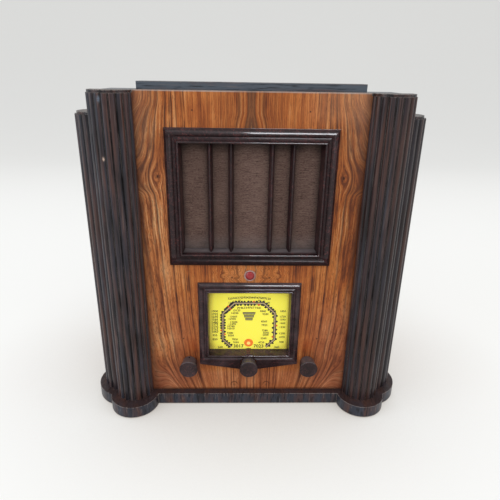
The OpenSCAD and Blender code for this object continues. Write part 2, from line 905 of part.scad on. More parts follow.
module gang_frame() {
    low = [-gang_half, gang_y, deck_z];
    end_y = gang_y + gang_len;
    color("#9aa0a6") place() difference() {
        union() {
            box(low, [gang_half, end_y, deck_z + steel_t]);
            box(low, [gang_half, gang_y + steel_t, gang_z + gang_half]);
            box([-gang_half, end_y - steel_t, deck_z], [gang_half, end_y, gang_z + gang_half]);
            rod(0, gang_z, gang_shaft_r + 4, gang_y - 3, gang_y + steel_t);
        }
        rod(0, gang_z, gang_shaft_r + fit, gang_y - 4, end_y + through);
    }
}

module gang_stator() {
    rod_z = deck_z + steel_t + 4;
    top = gang_z - 1;
    color("#c6cacd") place() {
        for (y0 = vane_first, i = [0:vane_count - 2]) {
            y = y0 + vane_pitch * i + (vane_pitch + vane_t) / 2 - vane_t / 2;
            plate(y, y + vane_t) difference() {
                pane(gang_half - 3, deck_z + steel_t + 1.5, top);
                translate([0, gang_z]) circle(r = gang_hub_r + stator_gap);
            }
        }
        for (x = [3 - gang_half, gang_half - 3])
            rod(x, rod_z, rod_r, gang_y + steel_t, gang_y + gang_len - steel_t);
    }
}

module gang_rotor() {
    sleeve = vane_pitch * (vane_count - 1) + vane_t + 1;
    color(brass) place() {
        rod(0, gang_z, gang_shaft_r, arm_y - 0.5, gang_y + gang_len + 3);
        for (y0 = vane_first) {
            rod(0, gang_z, gang_hub_r, y0 - 0.5, y0 - 0.5 + sleeve);
            for (i = [0:vane_count - 1]) plate(y0 + vane_pitch * i, y0 + vane_pitch * i + vane_t)
                translate([0, gang_z]) intersection() {
                    circle(r = vane_r);
                    translate([0, -vane_r]) square([vane_r, 2 * vane_r]);
                }
        }
    }
}

module drive_disc() {
    color(brass) place() difference() {
        union() {
            rod(0, gang_z, disc_r, disc_y, disc_y + disc_t);
            rod(0, gang_z, gang_shaft_r + 5, disc_y, disc_y + 6);
        }
        rod(0, gang_z, gang_shaft_r + fit, disc_y - through, disc_y + 8);
        for (a = [0:60:300])
            rod(disc_r * 0.58 * cos(a), gang_z + disc_r * 0.58 * sin(a), disc_r * 0.2,
                disc_y - through, disc_y + disc_t + through);
    }
}

module pointer_arm() {
    color("#20201f") place() difference() {
        union() {
            rod(0, gang_z, gang_shaft_r + 3, arm_y, arm_y + 4);
            box([-1.5, arm_y, gang_z], [1.5, arm_y + 1, gang_z + arm_len]);
        }
        rod(0, gang_z, gang_shaft_r + fit, arm_y - through, arm_y + 6);
    }
}

module control_bushes() {
    color(brass) place() for (x = [-control_x, 0, control_x]) difference() {
        union() {
            rod(x, control_z, bush_r, chassis_y - 6, skirt_y);
            translate([x, chassis_y - 3, control_z]) rotate([-90, 0, 0]) cylinder(r = nut_r, h = 3, $fn = 6);
        }
        rod(x, control_z, shaft_r + fit, chassis_y - 7, skirt_y + through);
    }
}

module volume_control() {
    color("#9a9da2") place() difference() {
        union() {
            rod(-control_x, control_z, pot_r, skirt_y, skirt_y + pot_len);
            box([-control_x - 9, skirt_y + 3, control_z - pot_r - 8],
                [-control_x + 9, skirt_y + 4.5, control_z]);
        }
        rod(-control_x, control_z, shaft_r + fit, skirt_y - through, skirt_y + pot_len - 4);
    }
}

module selector_switch() {
    color(paxolin) place() difference() {
        union() {
            box([control_x - 18, skirt_y, control_z - 14], [control_x + 18, skirt_y + 2, control_z + 14]);
            for (y = wafer_ys) rod(control_x, control_z, wafer_r, skirt_y + y, skirt_y + y + 1.6);
            for (x = [-14, 14]) rod(control_x + x, control_z, rod_r, skirt_y, skirt_y + wafer_ys[1] + 4);
        }
        rod(control_x, control_z, shaft_r + fit, skirt_y - through, skirt_y + wafer_ys[1] + 5);
    }
}

module tuning_shaft() {
    color(steel) place() rod(0, control_z, shaft_r, shaft_front, skirt_y + 6);
}
module volume_shaft() {
    color(steel) place() rod(-control_x, control_z, shaft_r, shaft_front, skirt_y + pot_len - 6);
}
module selector_shaft() {
    color(steel) place() rod(control_x, control_z, shaft_r, shaft_front, skirt_y + wafer_ys[1] + 4);
}

// Two flanges that grip the rim of the drive disc.
module pinch_wheel() {
    flange = 1.2;
    side_gap = 0.2;
    y0 = disc_y - side_gap - flange;
    y1 = disc_y + disc_t + side_gap + flange;
    color(brass) place() difference() {
        union() {
            rod(0, control_z, wheel_r, y0, y0 + flange);
            rod(0, control_z, wheel_hub_r, y0, y1);
            rod(0, control_z, wheel_r, y1 - flange, y1);
        }
        rod(0, control_z, shaft_r + fit, y0 - through, y1 + through);
    }
}

// A turned knob that flares towards its front, with a shallow dish and a grub screw hole.
module knob(x, screw_angle) {
    back = -1;
    color(bakelite) place() difference() {
        translate([x, 0, control_z]) rotate([-90, 0, 0]) rotate_extrude() polygon(concat(
            [[0, back], [knob_back_r, back]],
            [for (a = [0:15:90]) [knob_r - knob_round * (1 - cos(a)),
                                  knob_round * (1 - sin(a)) - knob_reach]],
            [[0, -knob_reach]]));
        rod(x, control_z, shaft_r + fit, shaft_front, back + through);
        translate([x, -grub_y, control_z]) rotate([0, screw_angle, 0]) cylinder(r = grub_r, h = 2 * knob_r);
    }
}
module tuning_knob() { knob(0, 150); }
module volume_knob() { knob(-control_x, 0); }
module selector_knob() { knob(control_x, 120); }

// Aerial and earth socket strip on the rear of the chassis.
module socket_strip() {
    color(paxolin) place() difference() {
        box([strip_x - strip_w / 2, chassis_back, strip_z - strip_h / 2],
            [strip_x + strip_w / 2, chassis_back + strip_t, strip_z + strip_h / 2]);
        for (x = socket_xs) rod(strip_x + x, strip_z, tube_r + fit, chassis_back - through, body_d);
    }
}

module socket_tubes() {
    color(brass) place() for (x = socket_xs) difference() {
        union() {
            rod(strip_x + x, strip_z, tube_r, chassis_back - 14, chassis_back + strip_t + 2);
            rod(strip_x + x, strip_z, tube_r + 1.2, chassis_back + strip_t, chassis_back + strip_t + 2);
        }
        rod(strip_x + x, strip_z, plug_r, chassis_back - 16, body_d);
    }
}

module mains_grommet() {
    color("#1d1b1a") place() difference() {
        union() {
            rod(inlet_x, inlet_z, grommet_r, chassis_back, chassis_back + 5);
            rod(inlet_x, inlet_z, grommet_r - 2, chassis_back - steel_t, chassis_back);
            rod(inlet_x, inlet_z, grommet_r, chassis_back - steel_t - 2, chassis_back - steel_t);
        }
        rod(inlet_x, inlet_z, cord_r, chassis_back - 10, body_d);
    }
}

plinth();
floor_pads();
side_wall_left();
side_wall_right();
roof_board();
crown_rail();
top_block();
front_panel();
front_column_left();
front_column_right();
column_caps();
side_column_left();
side_column_right();
corner_battens();
back_cover();
back_screws();
speaker_frame();
speaker_cloth();
baffle_board();
speaker_basket();
speaker_magnet();
speaker_cone();
speaker_bolts();
output_transformer();
dial_escutcheon();
dial_glass();
dial_scale();
lamp_brackets();
lamps();
jewel_bezel();
jewel_lens();
chassis_deck();
chassis_aprons();
chassis_sides();
chassis_bolts();
transformer_core();
transformer_winding();
valve_sockets();
valve_bases();
valve_bulbs();
if_cans();
smoothing_cans();
gang_frame();
gang_stator();
gang_rotor();
drive_disc();
pointer_arm();
control_bushes();
volume_control();
selector_switch();
tuning_shaft();
pinch_wheel();
tuning_knob();
volume_shaft();
volume_knob();
selector_shaft();
selector_knob();
socket_strip();
socket_tubes();
mains_grommet();
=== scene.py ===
"""Looks of a table radio receiver: wood, mouldings, cloth, dial and works on the packed frame."""
import math

import bmesh
import bpy
from bpy.props import FloatProperty, FloatVectorProperty, PointerProperty
from mathutils import Matrix, Vector


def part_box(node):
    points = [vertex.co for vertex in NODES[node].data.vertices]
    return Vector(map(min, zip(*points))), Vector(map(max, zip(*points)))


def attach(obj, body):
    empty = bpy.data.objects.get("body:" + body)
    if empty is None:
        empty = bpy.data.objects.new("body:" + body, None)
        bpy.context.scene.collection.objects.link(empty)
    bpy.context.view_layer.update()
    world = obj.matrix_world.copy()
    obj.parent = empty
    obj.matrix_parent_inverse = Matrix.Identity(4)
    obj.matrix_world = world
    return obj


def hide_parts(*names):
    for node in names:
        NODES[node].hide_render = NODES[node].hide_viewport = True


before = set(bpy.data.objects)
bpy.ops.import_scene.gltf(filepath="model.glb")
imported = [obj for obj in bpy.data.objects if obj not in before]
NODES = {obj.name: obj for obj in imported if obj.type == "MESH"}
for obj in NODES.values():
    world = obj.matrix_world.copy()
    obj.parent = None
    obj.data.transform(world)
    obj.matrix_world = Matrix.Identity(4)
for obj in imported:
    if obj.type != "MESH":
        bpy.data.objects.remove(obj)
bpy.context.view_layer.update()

bl_info = {
    "name": "Table radio receiver",
    "version": (1, 0, 0),
    "blender": (4, 5, 0),
    "location": "3D View > Sidebar > Receiver",
    "description": "Finishes for the wooden cabinet, mouldings, dial and works of a table radio",
    "category": "Object",
}

PANEL_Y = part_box("front_panel")[0].y
MM = 0.001

# Each moulded frame: width of its members and how far its point hangs down, in millimetres, then
# how much painted shade darkens its lower roll, how much dust lies in it and how strong its bloom
# is, a grey haze that on the dial frame also stands in for a painted reflection.
FRAMES = {"speaker_frame": (19.5, 0.0, 0.4, 0.75, 0.05),
          "dial_escutcheon": (15.0, 14.8, 0.0, 0.1, 0.5)}

# On the front columns, a chip in the polish and above it a painted blue-grey glint: x, z and half
# width in millimetres, and their colour.
CHIPS_AND_GLINT = ((-189.8, 399.6, 1.0, (214, 184, 164)), (-189.0, 472.4, 1.4, (112, 122, 136)))

# Shader inputs of the varnish on the walnut.
VARNISH = {"Specular_IOR_Level": 0.2, "Coat_Weight": 0.08, "Coat_Roughness": 0.2}

# The dial's print in millimetres: the corners of the tuning track as x, z and its legs, how far
# behind the panel's face the print lies, how thick it is, and the material slots of its inks.
TRACK = [Vector(corner) for corner in (
    (-27.6, 93.6), (-41, 107), (-40.8, 154.6), (-22.8, 172.6), (22.8, 172.6), (40.8, 154.6),
    (41, 107), (27.6, 93.6))]
LEGS = list(zip(TRACK, TRACK[1:]))
PRINT_Y = 11.8
PRINT_T = 0.12
THIN_T = 0.05
INK, RED, STRIPE, GREY, ORANGE, FLAME, BORDER = range(7)

# Columns of numbers: the first, the step to the next, their height share and where they stand.
COLUMNS = (
    (1900, -105, 1.0, [(-53.6, z) for z in (
        158.2, 152.8, 148.2, 143.4, 138.4, 134.4, 129.6, 125.6, 121.4, 115.0, 107.4)]),
    (1850, -130, 0.9, [(53.0, z) for z in (
        158.6, 148.9, 143.6, 137.2, 129.9, 118.6, 111.7, 102.6)]),
    (15120, -730, 0.9, (
        (-19.5, 159.8), (-22.5, 155.0), (-24.5, 148.9), (-26.5, 144.6), (-24.0, 139.0),
        (-26.5, 135.2), (-28.4, 131.2), (-28.6, 127.2), (-29.6, 119.2), (-28.2, 114.6),
        (-22.0, 107.4), (-20.6, 101.8))),
    (9840, -640, 0.9, (
        (21.6, 158.6), (25.6, 153.4), (24.0, 140.3), (24.6, 133.6), (25.4, 123.9),
        (27.6, 119.8), (27.0, 115.8), (23.8, 109.4), (20.4, 101.8))),
    (320, 25, 0.95, [(k * 7.4, 182.4 - 0.12 * k * k) for k in range(-4, 5)]))

# The camera stands so that the set lies in the picture as it does in the photograph.
CAMERA_PLACE = (-0.0172, -0.70765, 0.5026)
CAMERA_PAN, CAMERA_TILT, CAMERA_ROLL = -1.58, 68.73, 0.93
SENSOR_WIDTH = 36


def tint(red, green, blue):
    """The linear values that Blender takes for a colour as it shows on screen, 0 to 255."""
    return tuple(c / 3294.6 if c <= 10 else ((c / 255 + 0.055) / 1.055) ** 2.4
                 for c in (red, green, blue))


def colour(name, description, *rgb):
    return FloatVectorProperty(name=name, description=description, subtype="COLOR", size=3,
                               min=0, max=1, default=tint(*rgb))


def number(name, description, default, low, high, **kind):
    return FloatProperty(name=name, description=description, default=default, min=low, max=high,
                         **kind)


# ---- Settings ----

class CabinetLook(bpy.types.PropertyGroup):
    """Wood of the cabinet."""
    veneer_light: colour("Light veneer", "Pale growth of the walnut veneer", 206, 124, 62)
    veneer_mid: colour("Veneer", "Main tone of the walnut veneer", 180, 97, 46)
    veneer_dark: colour("Dark veneer", "Growth lines of the walnut veneer", 70, 34, 24)
    stain: colour("Stained wood", "Dark stain of the columns, plinth and crown", 30, 25, 27)
    cloud: colour("Clouded polish", "Blue-grey of the stained wood where its polish has clouded",
                  70, 73, 85)
    stain_streak: colour("Streak", "Reddish streaks that show through the stain", 92, 60, 50)
    board: colour("Raw board", "Unfinished wood inside the cabinet", 176, 138, 92)
    wear: number("Edge wear", "How far edges are rubbed to paler wood", 0.6, 0, 1,
                 subtype="FACTOR")


class MouldingLook(bpy.types.PropertyGroup):
    """Mouldings and knobs."""
    ground: colour("Ground", "Dark ground of the moulded resin", 38, 22, 23)
    mottle: colour("Mottle", "Reddish flow marks in the moulded resin", 96, 48, 46)
    mottle_size: number("Mottle size", "Size of the flow marks", 0.004, 0.001, 0.02,
                        unit="LENGTH")


class ClothLook(bpy.types.PropertyGroup):
    """Speaker cloth and felt."""
    thread: colour("Thread", "Main thread of the speaker cloth", 138, 112, 98)
    shadow: colour("Weft shadow", "Tone between the threads", 74, 53, 46)
    pitch: number("Thread pitch", "Distance between two threads", 0.0011, 0.0005, 0.003,
                  unit="LENGTH")
    felt: colour("Felt", "Felt of the pads", 58, 56, 52)


class DialLook(bpy.types.PropertyGroup):
    """Lit dial."""
    paper: colour("Paper", "Celluloid of the dial with the lamps on", 240, 228, 74)
    # Painted shade of the dial near its edges.
    edge_shade: colour("Rim", "Tone of the dial near its edges", 150, 132, 44)
    ink: colour("Ink", "Printing on the dial", 24, 20, 12)
    glow: number("Glow", "Strength of the lamps behind the dial", 0.5, 0, 3)
    figure_h: number("Figure height", "Height of the printed figures", 0.0054, 0.002, 0.008,
                     unit="LENGTH")
    track_length: number("Track length", "Length of the tuning track in millimetres",
                         230, 100, 400)


class StudioLook(bpy.types.PropertyGroup):
    """Floor, lamps and camera."""
    backdrop: colour("Backdrop", "Tone of the backdrop behind the set", 220, 219, 216)
    floor: colour("Floor", "Tone of the floor in front of the set", 247, 246, 243)
    key: number("Key light", "Power of the main soft light in watts", 28, 0, 200)
    focal: number("Focal length", "Focal length of the camera", 32.4, 10, 100, unit="CAMERA")


LOOKS = {"receiver_cabinet": CabinetLook, "receiver_moulding": MouldingLook,
         "receiver_cloth": ClothLook, "receiver_dial": DialLook, "receiver_studio": StudioLook}


# ---- Materials ----

class Signal:
    """A value inside a material that is added, multiplied and bent like a number."""

    def __init__(self, finish, socket):
        self.finish = finish
        self.socket = socket

    def math(self, operation, *others):
        inputs = dict(enumerate((self, *others)))
        return Signal(self.finish, self.finish.add("Math", inputs, operation=operation).outputs[0])

    def __add__(self, other):
        return self.math("ADD", other)

    __radd__ = __add__

    def __sub__(self, other):
        return self.math("SUBTRACT", other)

    def __rsub__(self, other):
        return self.math("MULTIPLY_ADD", -1.0, other)

    def __mul__(self, other):
        return self.math("MULTIPLY", other)

    def __truediv__(self, other):
        return self.math("DIVIDE", other)

    def __abs__(self):
        return self.math("ABSOLUTE")

    def clamp(self):
        return self.math("MAXIMUM", 0.0).math("MINIMUM", 1.0)

    def bell(self, middle, spread):
        """1 at the middle, falling off to 0 over the spread."""
        off = (self - middle) / spread
        return (off * off * -1.0).math("EXPONENT")

    def wave(self, length):
        """Swings between 0 and 1, once in each length."""
        return (self * (2 * math.pi / length)).math("SINE") * 0.5 + 0.5

    def smooth(self, none, full):
        """0 up to none, 1 from full on, and a soft step in between. It falls if none is larger."""
        node = self.finish.add("MapRange", {"Value": self, "From Min": none, "From Max": full},
                               interpolation_type="SMOOTHSTEP")
        return Signal(self.finish, node.outputs[0])


class Finish:
    """A material, with shorthands for the nodes that the finishes below are made of.

    at is where a point lies in the set's own frame, in millimetres. base is the colour so far."""

    def __init__(self, name, **fixed):
        self.material = bpy.data.materials.new(name)
        self.material.use_nodes = True
        self.tree = self.material.node_tree
        self.tree.nodes.clear()
        self.shader = self.add("BsdfPrincipled")
        self.tree.links.new(self.shader.outputs[0], self.add("OutputMaterial").inputs["Surface"])
        self.shade(**fixed)
        split = self.add("SeparateXYZ", {0: self.add("TexCoord").outputs["Object"]})
        self.at = [Signal(self, socket) * 1000.0 for socket in split.outputs]
        self.base = None

    def add(self, kind, inputs=None, **fields):
        node = self.tree.nodes.new("ShaderNode" + kind)
        for key, value in fields.items():
            setattr(node, key, value)
        for key, value in (inputs or {}).items():
            self.feed(node.inputs[key], value)
        return node

    def feed(self, socket, value):
        """Links or sets an input. None leaves it as it is."""
        if isinstance(value, Signal):
            value = value.socket
        if isinstance(value, bpy.types.NodeSocket):
            self.tree.links.new(value, socket)
        elif value is not None:
            socket.default_value = (*value[:3], 1) if socket.type == "RGBA" else value

    def shade(self, **inputs):
        for key, value in inputs.items():
            self.feed(self.shader.inputs[key.replace("_", " ")], value)

    def per(self, *reach):
        """Where a point lies, in steps of reach millimetres along each axis."""
        return [at / step for at, step in zip(self.at, reach)]

    def noise(self, x, y, z, detail=2.0, roughness=0.5, warp=0.0):
        at = self.add("CombineXYZ", {0: x, 1: y, 2: z}).outputs[0]
        node = self.add("TexNoise", {"Vector": at, "Scale": 1.0, "Detail": detail,
                                     "Roughness": roughness, "Distortion": warp})
        return Signal(self, node.outputs[0])

    def clouds(self, size, **how):
        """Noise in blobs of one size, in millimetres."""
        return self.noise(*self.per(size, size, size), **how)

    def curve(self, share, *points):
        """Bends a 0 to 1 value along a smooth curve through points."""
        node = self.add("FloatCurve", {1: share})
        line = node.mapping.curves[0]
        while len(line.points) < len(points):
            line.points.new(0.5, 0.5)
        for point, at in zip(line.points, points):
            point.location = at
        node.mapping.update()
        return Signal(self, node.outputs[0])

    def ramp(self, share, *stops):
        node = self.add("ValToRGB", {0: share})
        elements = node.color_ramp.elements
        while len(elements) < len(stops):
            elements.new(0.5)
        for element, (position, rgb) in zip(elements, stops):
            element.position = position
            element.color = (*rgb[:3], 1)
        return node.outputs[0]

    def mix(self, share, a, b):
        return self.add("Mix", {0: share, 6: a, 7: b}, data_type="RGBA").outputs[2]

    def lay(self, share, *rgb):
        """Lays a colour, or the three values of one on screen, over the base."""
        self.base = self.mix(share, self.base, rgb[0] if len(rgb) == 1 else tint(*rgb))

    def edges(self, radius):
        """1 along convex edges, 0 on flat faces, and the rounded normal of those edges."""
        soft = self.add("Bevel", {"Radius": radius}, samples=4).outputs[0]
        sharp = self.add("NewGeometry").outputs["Normal"]
        dot = self.add("VectorMath", {0: soft, 1: sharp}, operation="DOT_PRODUCT").outputs["Value"]
        return (1.0 - Signal(self, dot)).smooth(0.01, 0.2), soft

    def upper(self, none, full):
        """1 on surfaces that face up while the piece is at rest."""
        split = self.add("SeparateXYZ", {0: self.add("TexCoord").outputs["Normal"]})
        return Signal(self, split.outputs[2]).smooth(none, full)

    def hollows(self, reach, local=True):
        """0 in the open, up to 1 down in grooves and close to other surfaces."""
        node = self.add("AmbientOcclusion", {"Distance": reach}, samples=8, only_local=local)
        return 1.0 - Signal(self, node.outputs["AO"])

    def relief(self, height, depth, under=None):
        """A bump whose full height is depth in metres."""
        return self.add("Bump", {"Height": height, "Distance": depth, "Strength": 1.0,
                                 "Normal": under}).outputs[0]

    def done(self, roughness, normal=None, glow=None, **others):
        """The finished material. Its base also glows where a glow is given."""
        if glow is not None:
            others = {"Emission_Color": self.base, "Emission_Strength": glow}
        self.shade(Base_Color=self.base, Roughness=roughness, Normal=normal, **others)
        return self.material


def walnut_veneer(look):
    """Bookmatched walnut: growth lines bow out to two knots and sweep in round the lower knobs.

    u is the distance from the seam, so both leaves are alike but for a few patches set by x."""
    f = Finish("walnut_veneer", **VARNISH)
    x, _, z = f.at
    seam = 3.8 - z * 0.0115
    u = abs(x - seam)
    height = z / 500.0
    knot_u, knot_z = 127.3, 372.0
    rise = z - knot_z

    # Flow of the grain: g is where a line would run if the tree had grown straight.
    out = ((u - 90.0) / 48.0).math("MAXIMUM", 0.0)
    bow = f.curve(height, (0, 0.75), (0.64, 0.75), (0.69, 0.785), (0.72, 0.875), (0.755, 0.875),
                  (0.8, 0.75), (0.84, 0.65), (0.88, 0.55), (0.92, 0.325), (0.966, 0.0),
                  (1.0, 0.0)) * out * out * 20.0
    turn = f.curve(height, (0, 1.0), (0.042, 0.727), (0.078, 0.493), (0.116, 0.327),
                   (0.154, 0.22), (0.212, 0.14), (0.252, 0.07), (0.34, 0.0), (1.0, 0.0))
    turn = turn * u.smooth(10.0, 112.0) * (1.0 - u.smooth(126.0, 156.0) * 0.6) * 30.0
    vase = f.curve(height, (0, 0.3), (0.4, 0.3), (0.47, 0.85), (0.6, 1.0), (0.85, 1.0),
                   (0.876, 0.82), (0.9, 0.42), (0.925, 0.12), (0.96, 0.16),
                   (1.0, 0.16)) * u.bell(16.0, 20.0) * 6.0
    off_u, off_z = (u - knot_u) / 8.0, rise / 13.0
    knot = ((off_u * off_u + off_z * off_z) * -1.0).math("EXPONENT") * off_u * 5.0
    wander = (f.noise(u / 50.0, 3.3, z / 210.0, detail=0.0) - 0.5) * 5.0
    wander = wander + (f.noise(x / 30.0, 3.8, z / 60.0, detail=1.0) - 0.5) * 1.5
    wings = u.bell(30.0, 20.0) * z.bell(226.0, 13.0)
    curl = (f.noise(u / 9.0, 8.4, z / 6.0, detail=1.0) - 0.5) * wings * 26.0
    g = u - bow + turn - vase - knot + wander + curl

    # Tones: broad bands, lines of growth, hair lines and short open pores.
    broad = f.noise(g / 16.0, 1.3, z / 500.0, detail=1.0)
    band = f.noise(g / 3.4, 2.4, z / 600.0, detail=1.0, roughness=0.6)
    hair = f.noise(g / 0.9, 4.6, z / 45.0, roughness=0.6)
    pores = f.noise(g / 0.45, 5.5, z / 6.0)
    cloud = f.noise(x / 38.0, 6.5, z / 50.0, detail=3.0)
    tone = (broad - 0.5) * 0.55 + (band - 0.5) * 0.55 + (hair - 0.5) + (cloud - 0.5) * 0.7 + 0.5
    busy = u.smooth(95.0, 115.0) * z.smooth(240.0, 280.0)
    tone = tone + ((hair - 0.5) * 0.9 + (pores - 0.5) * 0.9) * busy
    f.base = f.ramp(tone, (0.15, tint(110, 54, 28)), (0.4, look.veneer_mid),
                    (0.62, look.veneer_light), (0.9, tint(232, 160, 104)))
    rosy = f.ramp(tone, (0.15, tint(126, 66, 46)), (0.5, tint(190, 114, 80)),
                  (0.9, tint(232, 166, 126)))
    warm = f.ramp(tone, (0.12, tint(134, 72, 40)), (0.4, tint(218, 134, 76)),
                  (0.9, tint(252, 196, 140)))
    f.lay(z.smooth(215.0, 125.0) * u.smooth(60.0, 130.0) * 0.5, rosy)
    f.lay(x.smooth(-100.0, -130.0) * z.smooth(50.0, 110.0) * z.smooth(420.0, 340.0) * 0.8, warm)
    f.lay(z.smooth(62.0, 50.0) * 0.4, rosy)

    # Growth lines: thin dashes all over, and single lines as (g, half width, strength).
    thin = f.noise(g / 2.6, 7.3, z / 500.0, detail=0.0).smooth(0.4, 0.3)
    dash = f.noise(g / 5.0, 7.9, z / 34.0).smooth(0.38, 0.66)
    f.lay(thin * dash * 0.95, 80, 38, 24)
    lines = 0.0
    for at, half, strength in (
            (3.8, 1.1, 0.85), (15.2, 2.0, 0.8), (30.2, 0.7, 0.5), (38.6, 0.8, 0.55),
            (57.0, 1.0, 0.5), (67.7, 0.9, 0.45), (89.3, 0.8, 0.6), (96.7, 0.8, 0.8),
            (101.8, 0.7, 0.6), (109.4, 0.9, 0.9), (118.9, 0.8, 0.85), (122.6, 0.6, 0.5),
            (127.2, 0.7, 0.8), (131.0, 0.7, 0.5)):
        lines = g.bell(at, half) * strength + lines
    fickle = 0.3 + f.noise(g / 8.0, 9.1, z / 28.0, detail=3.0) + busy * 0.25
    f.lay(lines * fickle * 0.9, look.veneer_dark)
    f.lay(g.smooth(5.0, 3.0) * z.smooth(300.0, 320.0) * 0.62, 104, 72, 50)

    # Patches: faded high up by the columns, painted shade in the lower corners, darker on the
    # right and over the dial, faded at the top right, and a painted glow over and a painted shade
    # under the outer knobs.
    f.lay(u.smooth(112.0, 150.0) * z.smooth(300.0, 470.0) * 0.3, 158, 124, 104)
    # Painted shade in the lower corners by the columns.
    f.lay(z.smooth(70.0, 20.0) * u.smooth(118.0, 152.0) * 0.5, 112, 56, 44)
    f.lay(x.smooth(110.0, 150.0) * z.smooth(210.0, 270.0) * z.smooth(450.0, 390.0) * 0.35,
          106, 54, 30)
    f.lay(u.smooth(64.0, 24.0) * z.smooth(400.0, 430.0) * 0.16, look.veneer_dark)
    f.lay(x.smooth(50.0, 110.0) * z.smooth(430.0, 460.0) * 0.26, 222, 160, 118)
    # Painted glow over the outer knobs, and painted shade under them.
    f.lay(u.bell(90.0, 9.0) * z.bell(104.0, 13.0) * 0.7, 182, 86, 34)
    f.lay(u.bell(94.0, 12.0) * z.bell(72.0, 26.0) * 0.5, 96, 44, 26)

    # Eyes at the bottom, the knots with their rays, a few specks and the pores.
    eye_u, eye_z = (u - 26.0) / 5.6, (z - 29.0) / 6.4
    ring = (eye_u * eye_u + eye_z * eye_z).math("SQRT")
    f.lay(ring.bell(0.95, 0.17) * z.smooth(26.0, 34.0) * 0.75, 70, 38, 26)
    f.lay(ring.bell(0.0, 0.35) * 0.6, 98, 62, 46)
    tick = (u.bell(knot_u, 1.5) * z.bell(knot_z, 1.7)
            + (u + rise * 0.5).bell(knot_u, 0.6) * z.bell(knot_z + 2.0, 5.5) * 0.6
            + (u - rise * 0.4).bell(knot_u, 0.5) * z.bell(knot_z - 3.0, 5.0) * 0.45)
    f.lay(tick.clamp() * 0.9, 52, 32, 24)
    for at_u, at_z, size in ((76.8, 459.0, 0.95), (27.5, 221.5, 1.1), (104.6, 116.5, 1.0)):
        f.lay(u.bell(at_u, size) * z.bell(at_z, size) * 1.3, 58, 34, 26)
    f.lay(pores.smooth(0.55, 0.65) * 0.5, 84, 42, 28)

    # Dirt along the foot, painted shade by the columns, a painted top highlight, and rubbed edges.
    f.lay((z.bell(21.5, 2.0) * (0.4 + cloud)).clamp() * 0.8, 64, 36, 28)
    # Painted shade beside the columns.
    f.lay(u.smooth(143.0, 154.0) * (0.5 + cloud) * 0.5, 84, 50, 34)
    # Painted highlight along the top edge.
    f.lay(z.smooth(481.3, 482.1) * (cloud * 1.5).clamp() * 0.7, 190, 178, 170)
    rub, soft = f.edges(0.0012)
    f.lay(rub * look.wear * 0.5, 190, 146, 112)
    return f.done((0.38 + broad * 0.14).clamp(), f.relief(band * 0.4 + pores * 0.3, 0.0001, soft))


def plain_walnut(look, name, reach):
    """Straight-grained walnut: reach holds how far its lines run on each axis."""
    f = Finish(name, **VARNISH)
    a, b, c = f.per(*reach)
    broad = f.noise(a / 9.0, b / 9.0, c / 2.0, detail=1.0)
    band = f.noise(a / 2.0, b / 2.0, c / 2.0 + 3.1)
    hair = f.noise(a * 1.8, b * 1.8, c * 4.0 + 6.2, roughness=0.6)
    tone = ((broad - 0.5) * 0.7 + (band - 0.5) * 0.6 + (hair - 0.5) * 0.8
            + (f.clouds(60.0) - 0.5) * 0.4 + 0.47)
    f.base = f.ramp(tone, (0.15, tint(104, 56, 32)), (0.45, look.veneer_mid),
                    (0.65, look.veneer_light), (0.9, tint(222, 154, 100)))
    thin = f.noise(a / 1.6, b / 1.6, c / 3.0 + 8.4, detail=1.0).smooth(0.4, 0.3)
    f.lay(thin * 0.8, look.veneer_dark)
    rub, soft = f.edges(0.0012)
    f.lay(rub * look.wear * 0.5, 190, 146, 112)
    return f.done((0.4 + broad * 0.14).clamp(), f.relief(band * 0.5 + hair * 0.3, 0.0001, soft))


def stained_wood(look, name, reach, cool, crest_light=0.0, wear=1.0, haze=None, brown=0.0):
    """Dark stained wood: blue-grey where the polish has clouded, reddish along the grain, with
    painted shade down in its grooves and reddish painted light on the crests of the reeds.

    cool is how far it has clouded, crest_light how strong that painted light on the crests is, wear
    how pale the edges are, from rubbing and, where it is large, also from a painted edge highlight,
    and brown how brown the faces that look up are."""
    f = Finish(name, Specular_IOR_Level=0.16, Coat_Weight=0.24, Coat_Roughness=0.2)
    x, y, z = f.at
    a, b, c = f.per(*reach)
    broad = f.noise(a, b, c, detail=1.0, roughness=0.55)
    fine = f.noise(a * 4.2 + 9.3, b * 4.2, c * 3.0, detail=3.0, roughness=0.6)
    dust = f.noise(x / 24.0, y / 24.0, z / 60.0 + 4.4, detail=3.0)
    f.base = f.mix(dust * 1.6 - 0.8 + cool, look.stain, haze or look.cloud)
    streak = (broad - 0.5) * 3.0 + (fine - 0.5) * 1.6 + (dust - 0.5) * 0.8 + 0.3 - cool * 0.3
    f.lay(streak.clamp() * 0.9, look.stain_streak)
    f.lay(fine.smooth(0.47, 0.37) * 0.65, 14, 11, 13)
    f.lay(fine.smooth(0.6, 0.68) * 0.4, 132, 120, 116)
    f.lay(f.upper(0.6, 0.9) * brown, 66, 42, 32)
    near = f.hollows(0.006)
    # Painted light: reddish crests of the reeds, broken up by the grain.
    crest = near.smooth(0.2, 0.04) * ((fine - 0.34) * 4.0).clamp() * ((broad - 0.3) * 3.0).clamp()
    f.lay(crest * crest_light, look.stain_streak)
    # Painted shade: near black down in the grooves.
    f.lay(near.smooth(0.06, 0.36) * 0.95, 8, 6, 7)
    if crest_light:
        f.lay(x.smooth(110.0, 210.0) * 0.4, 36, 22, 18)
        # A chip in the polish, and above it a painted glint.
        ragged = 0.4 + f.clouds(1.5).smooth(0.38, 0.5)
        for at_x, at_z, half, rgb in CHIPS_AND_GLINT:
            f.lay(x.bell(at_x, half) * z.bell(at_z, half * 2.0) * ragged * 1.4, *rgb)
    # Paler edges: rubbed wear, and where wear is large also a painted edge highlight.
    rub, soft = f.edges(0.0016)
    worn = (fine * 0.6 + dust * 0.6 - 0.5).smooth(0.0, 0.14)
    f.lay(rub * worn * look.wear * wear, 158, 146, 138)
    return f.done((0.3 + dust * 0.22).clamp(), f.relief(fine * 0.7 + broad * 0.4, 0.0002, soft))


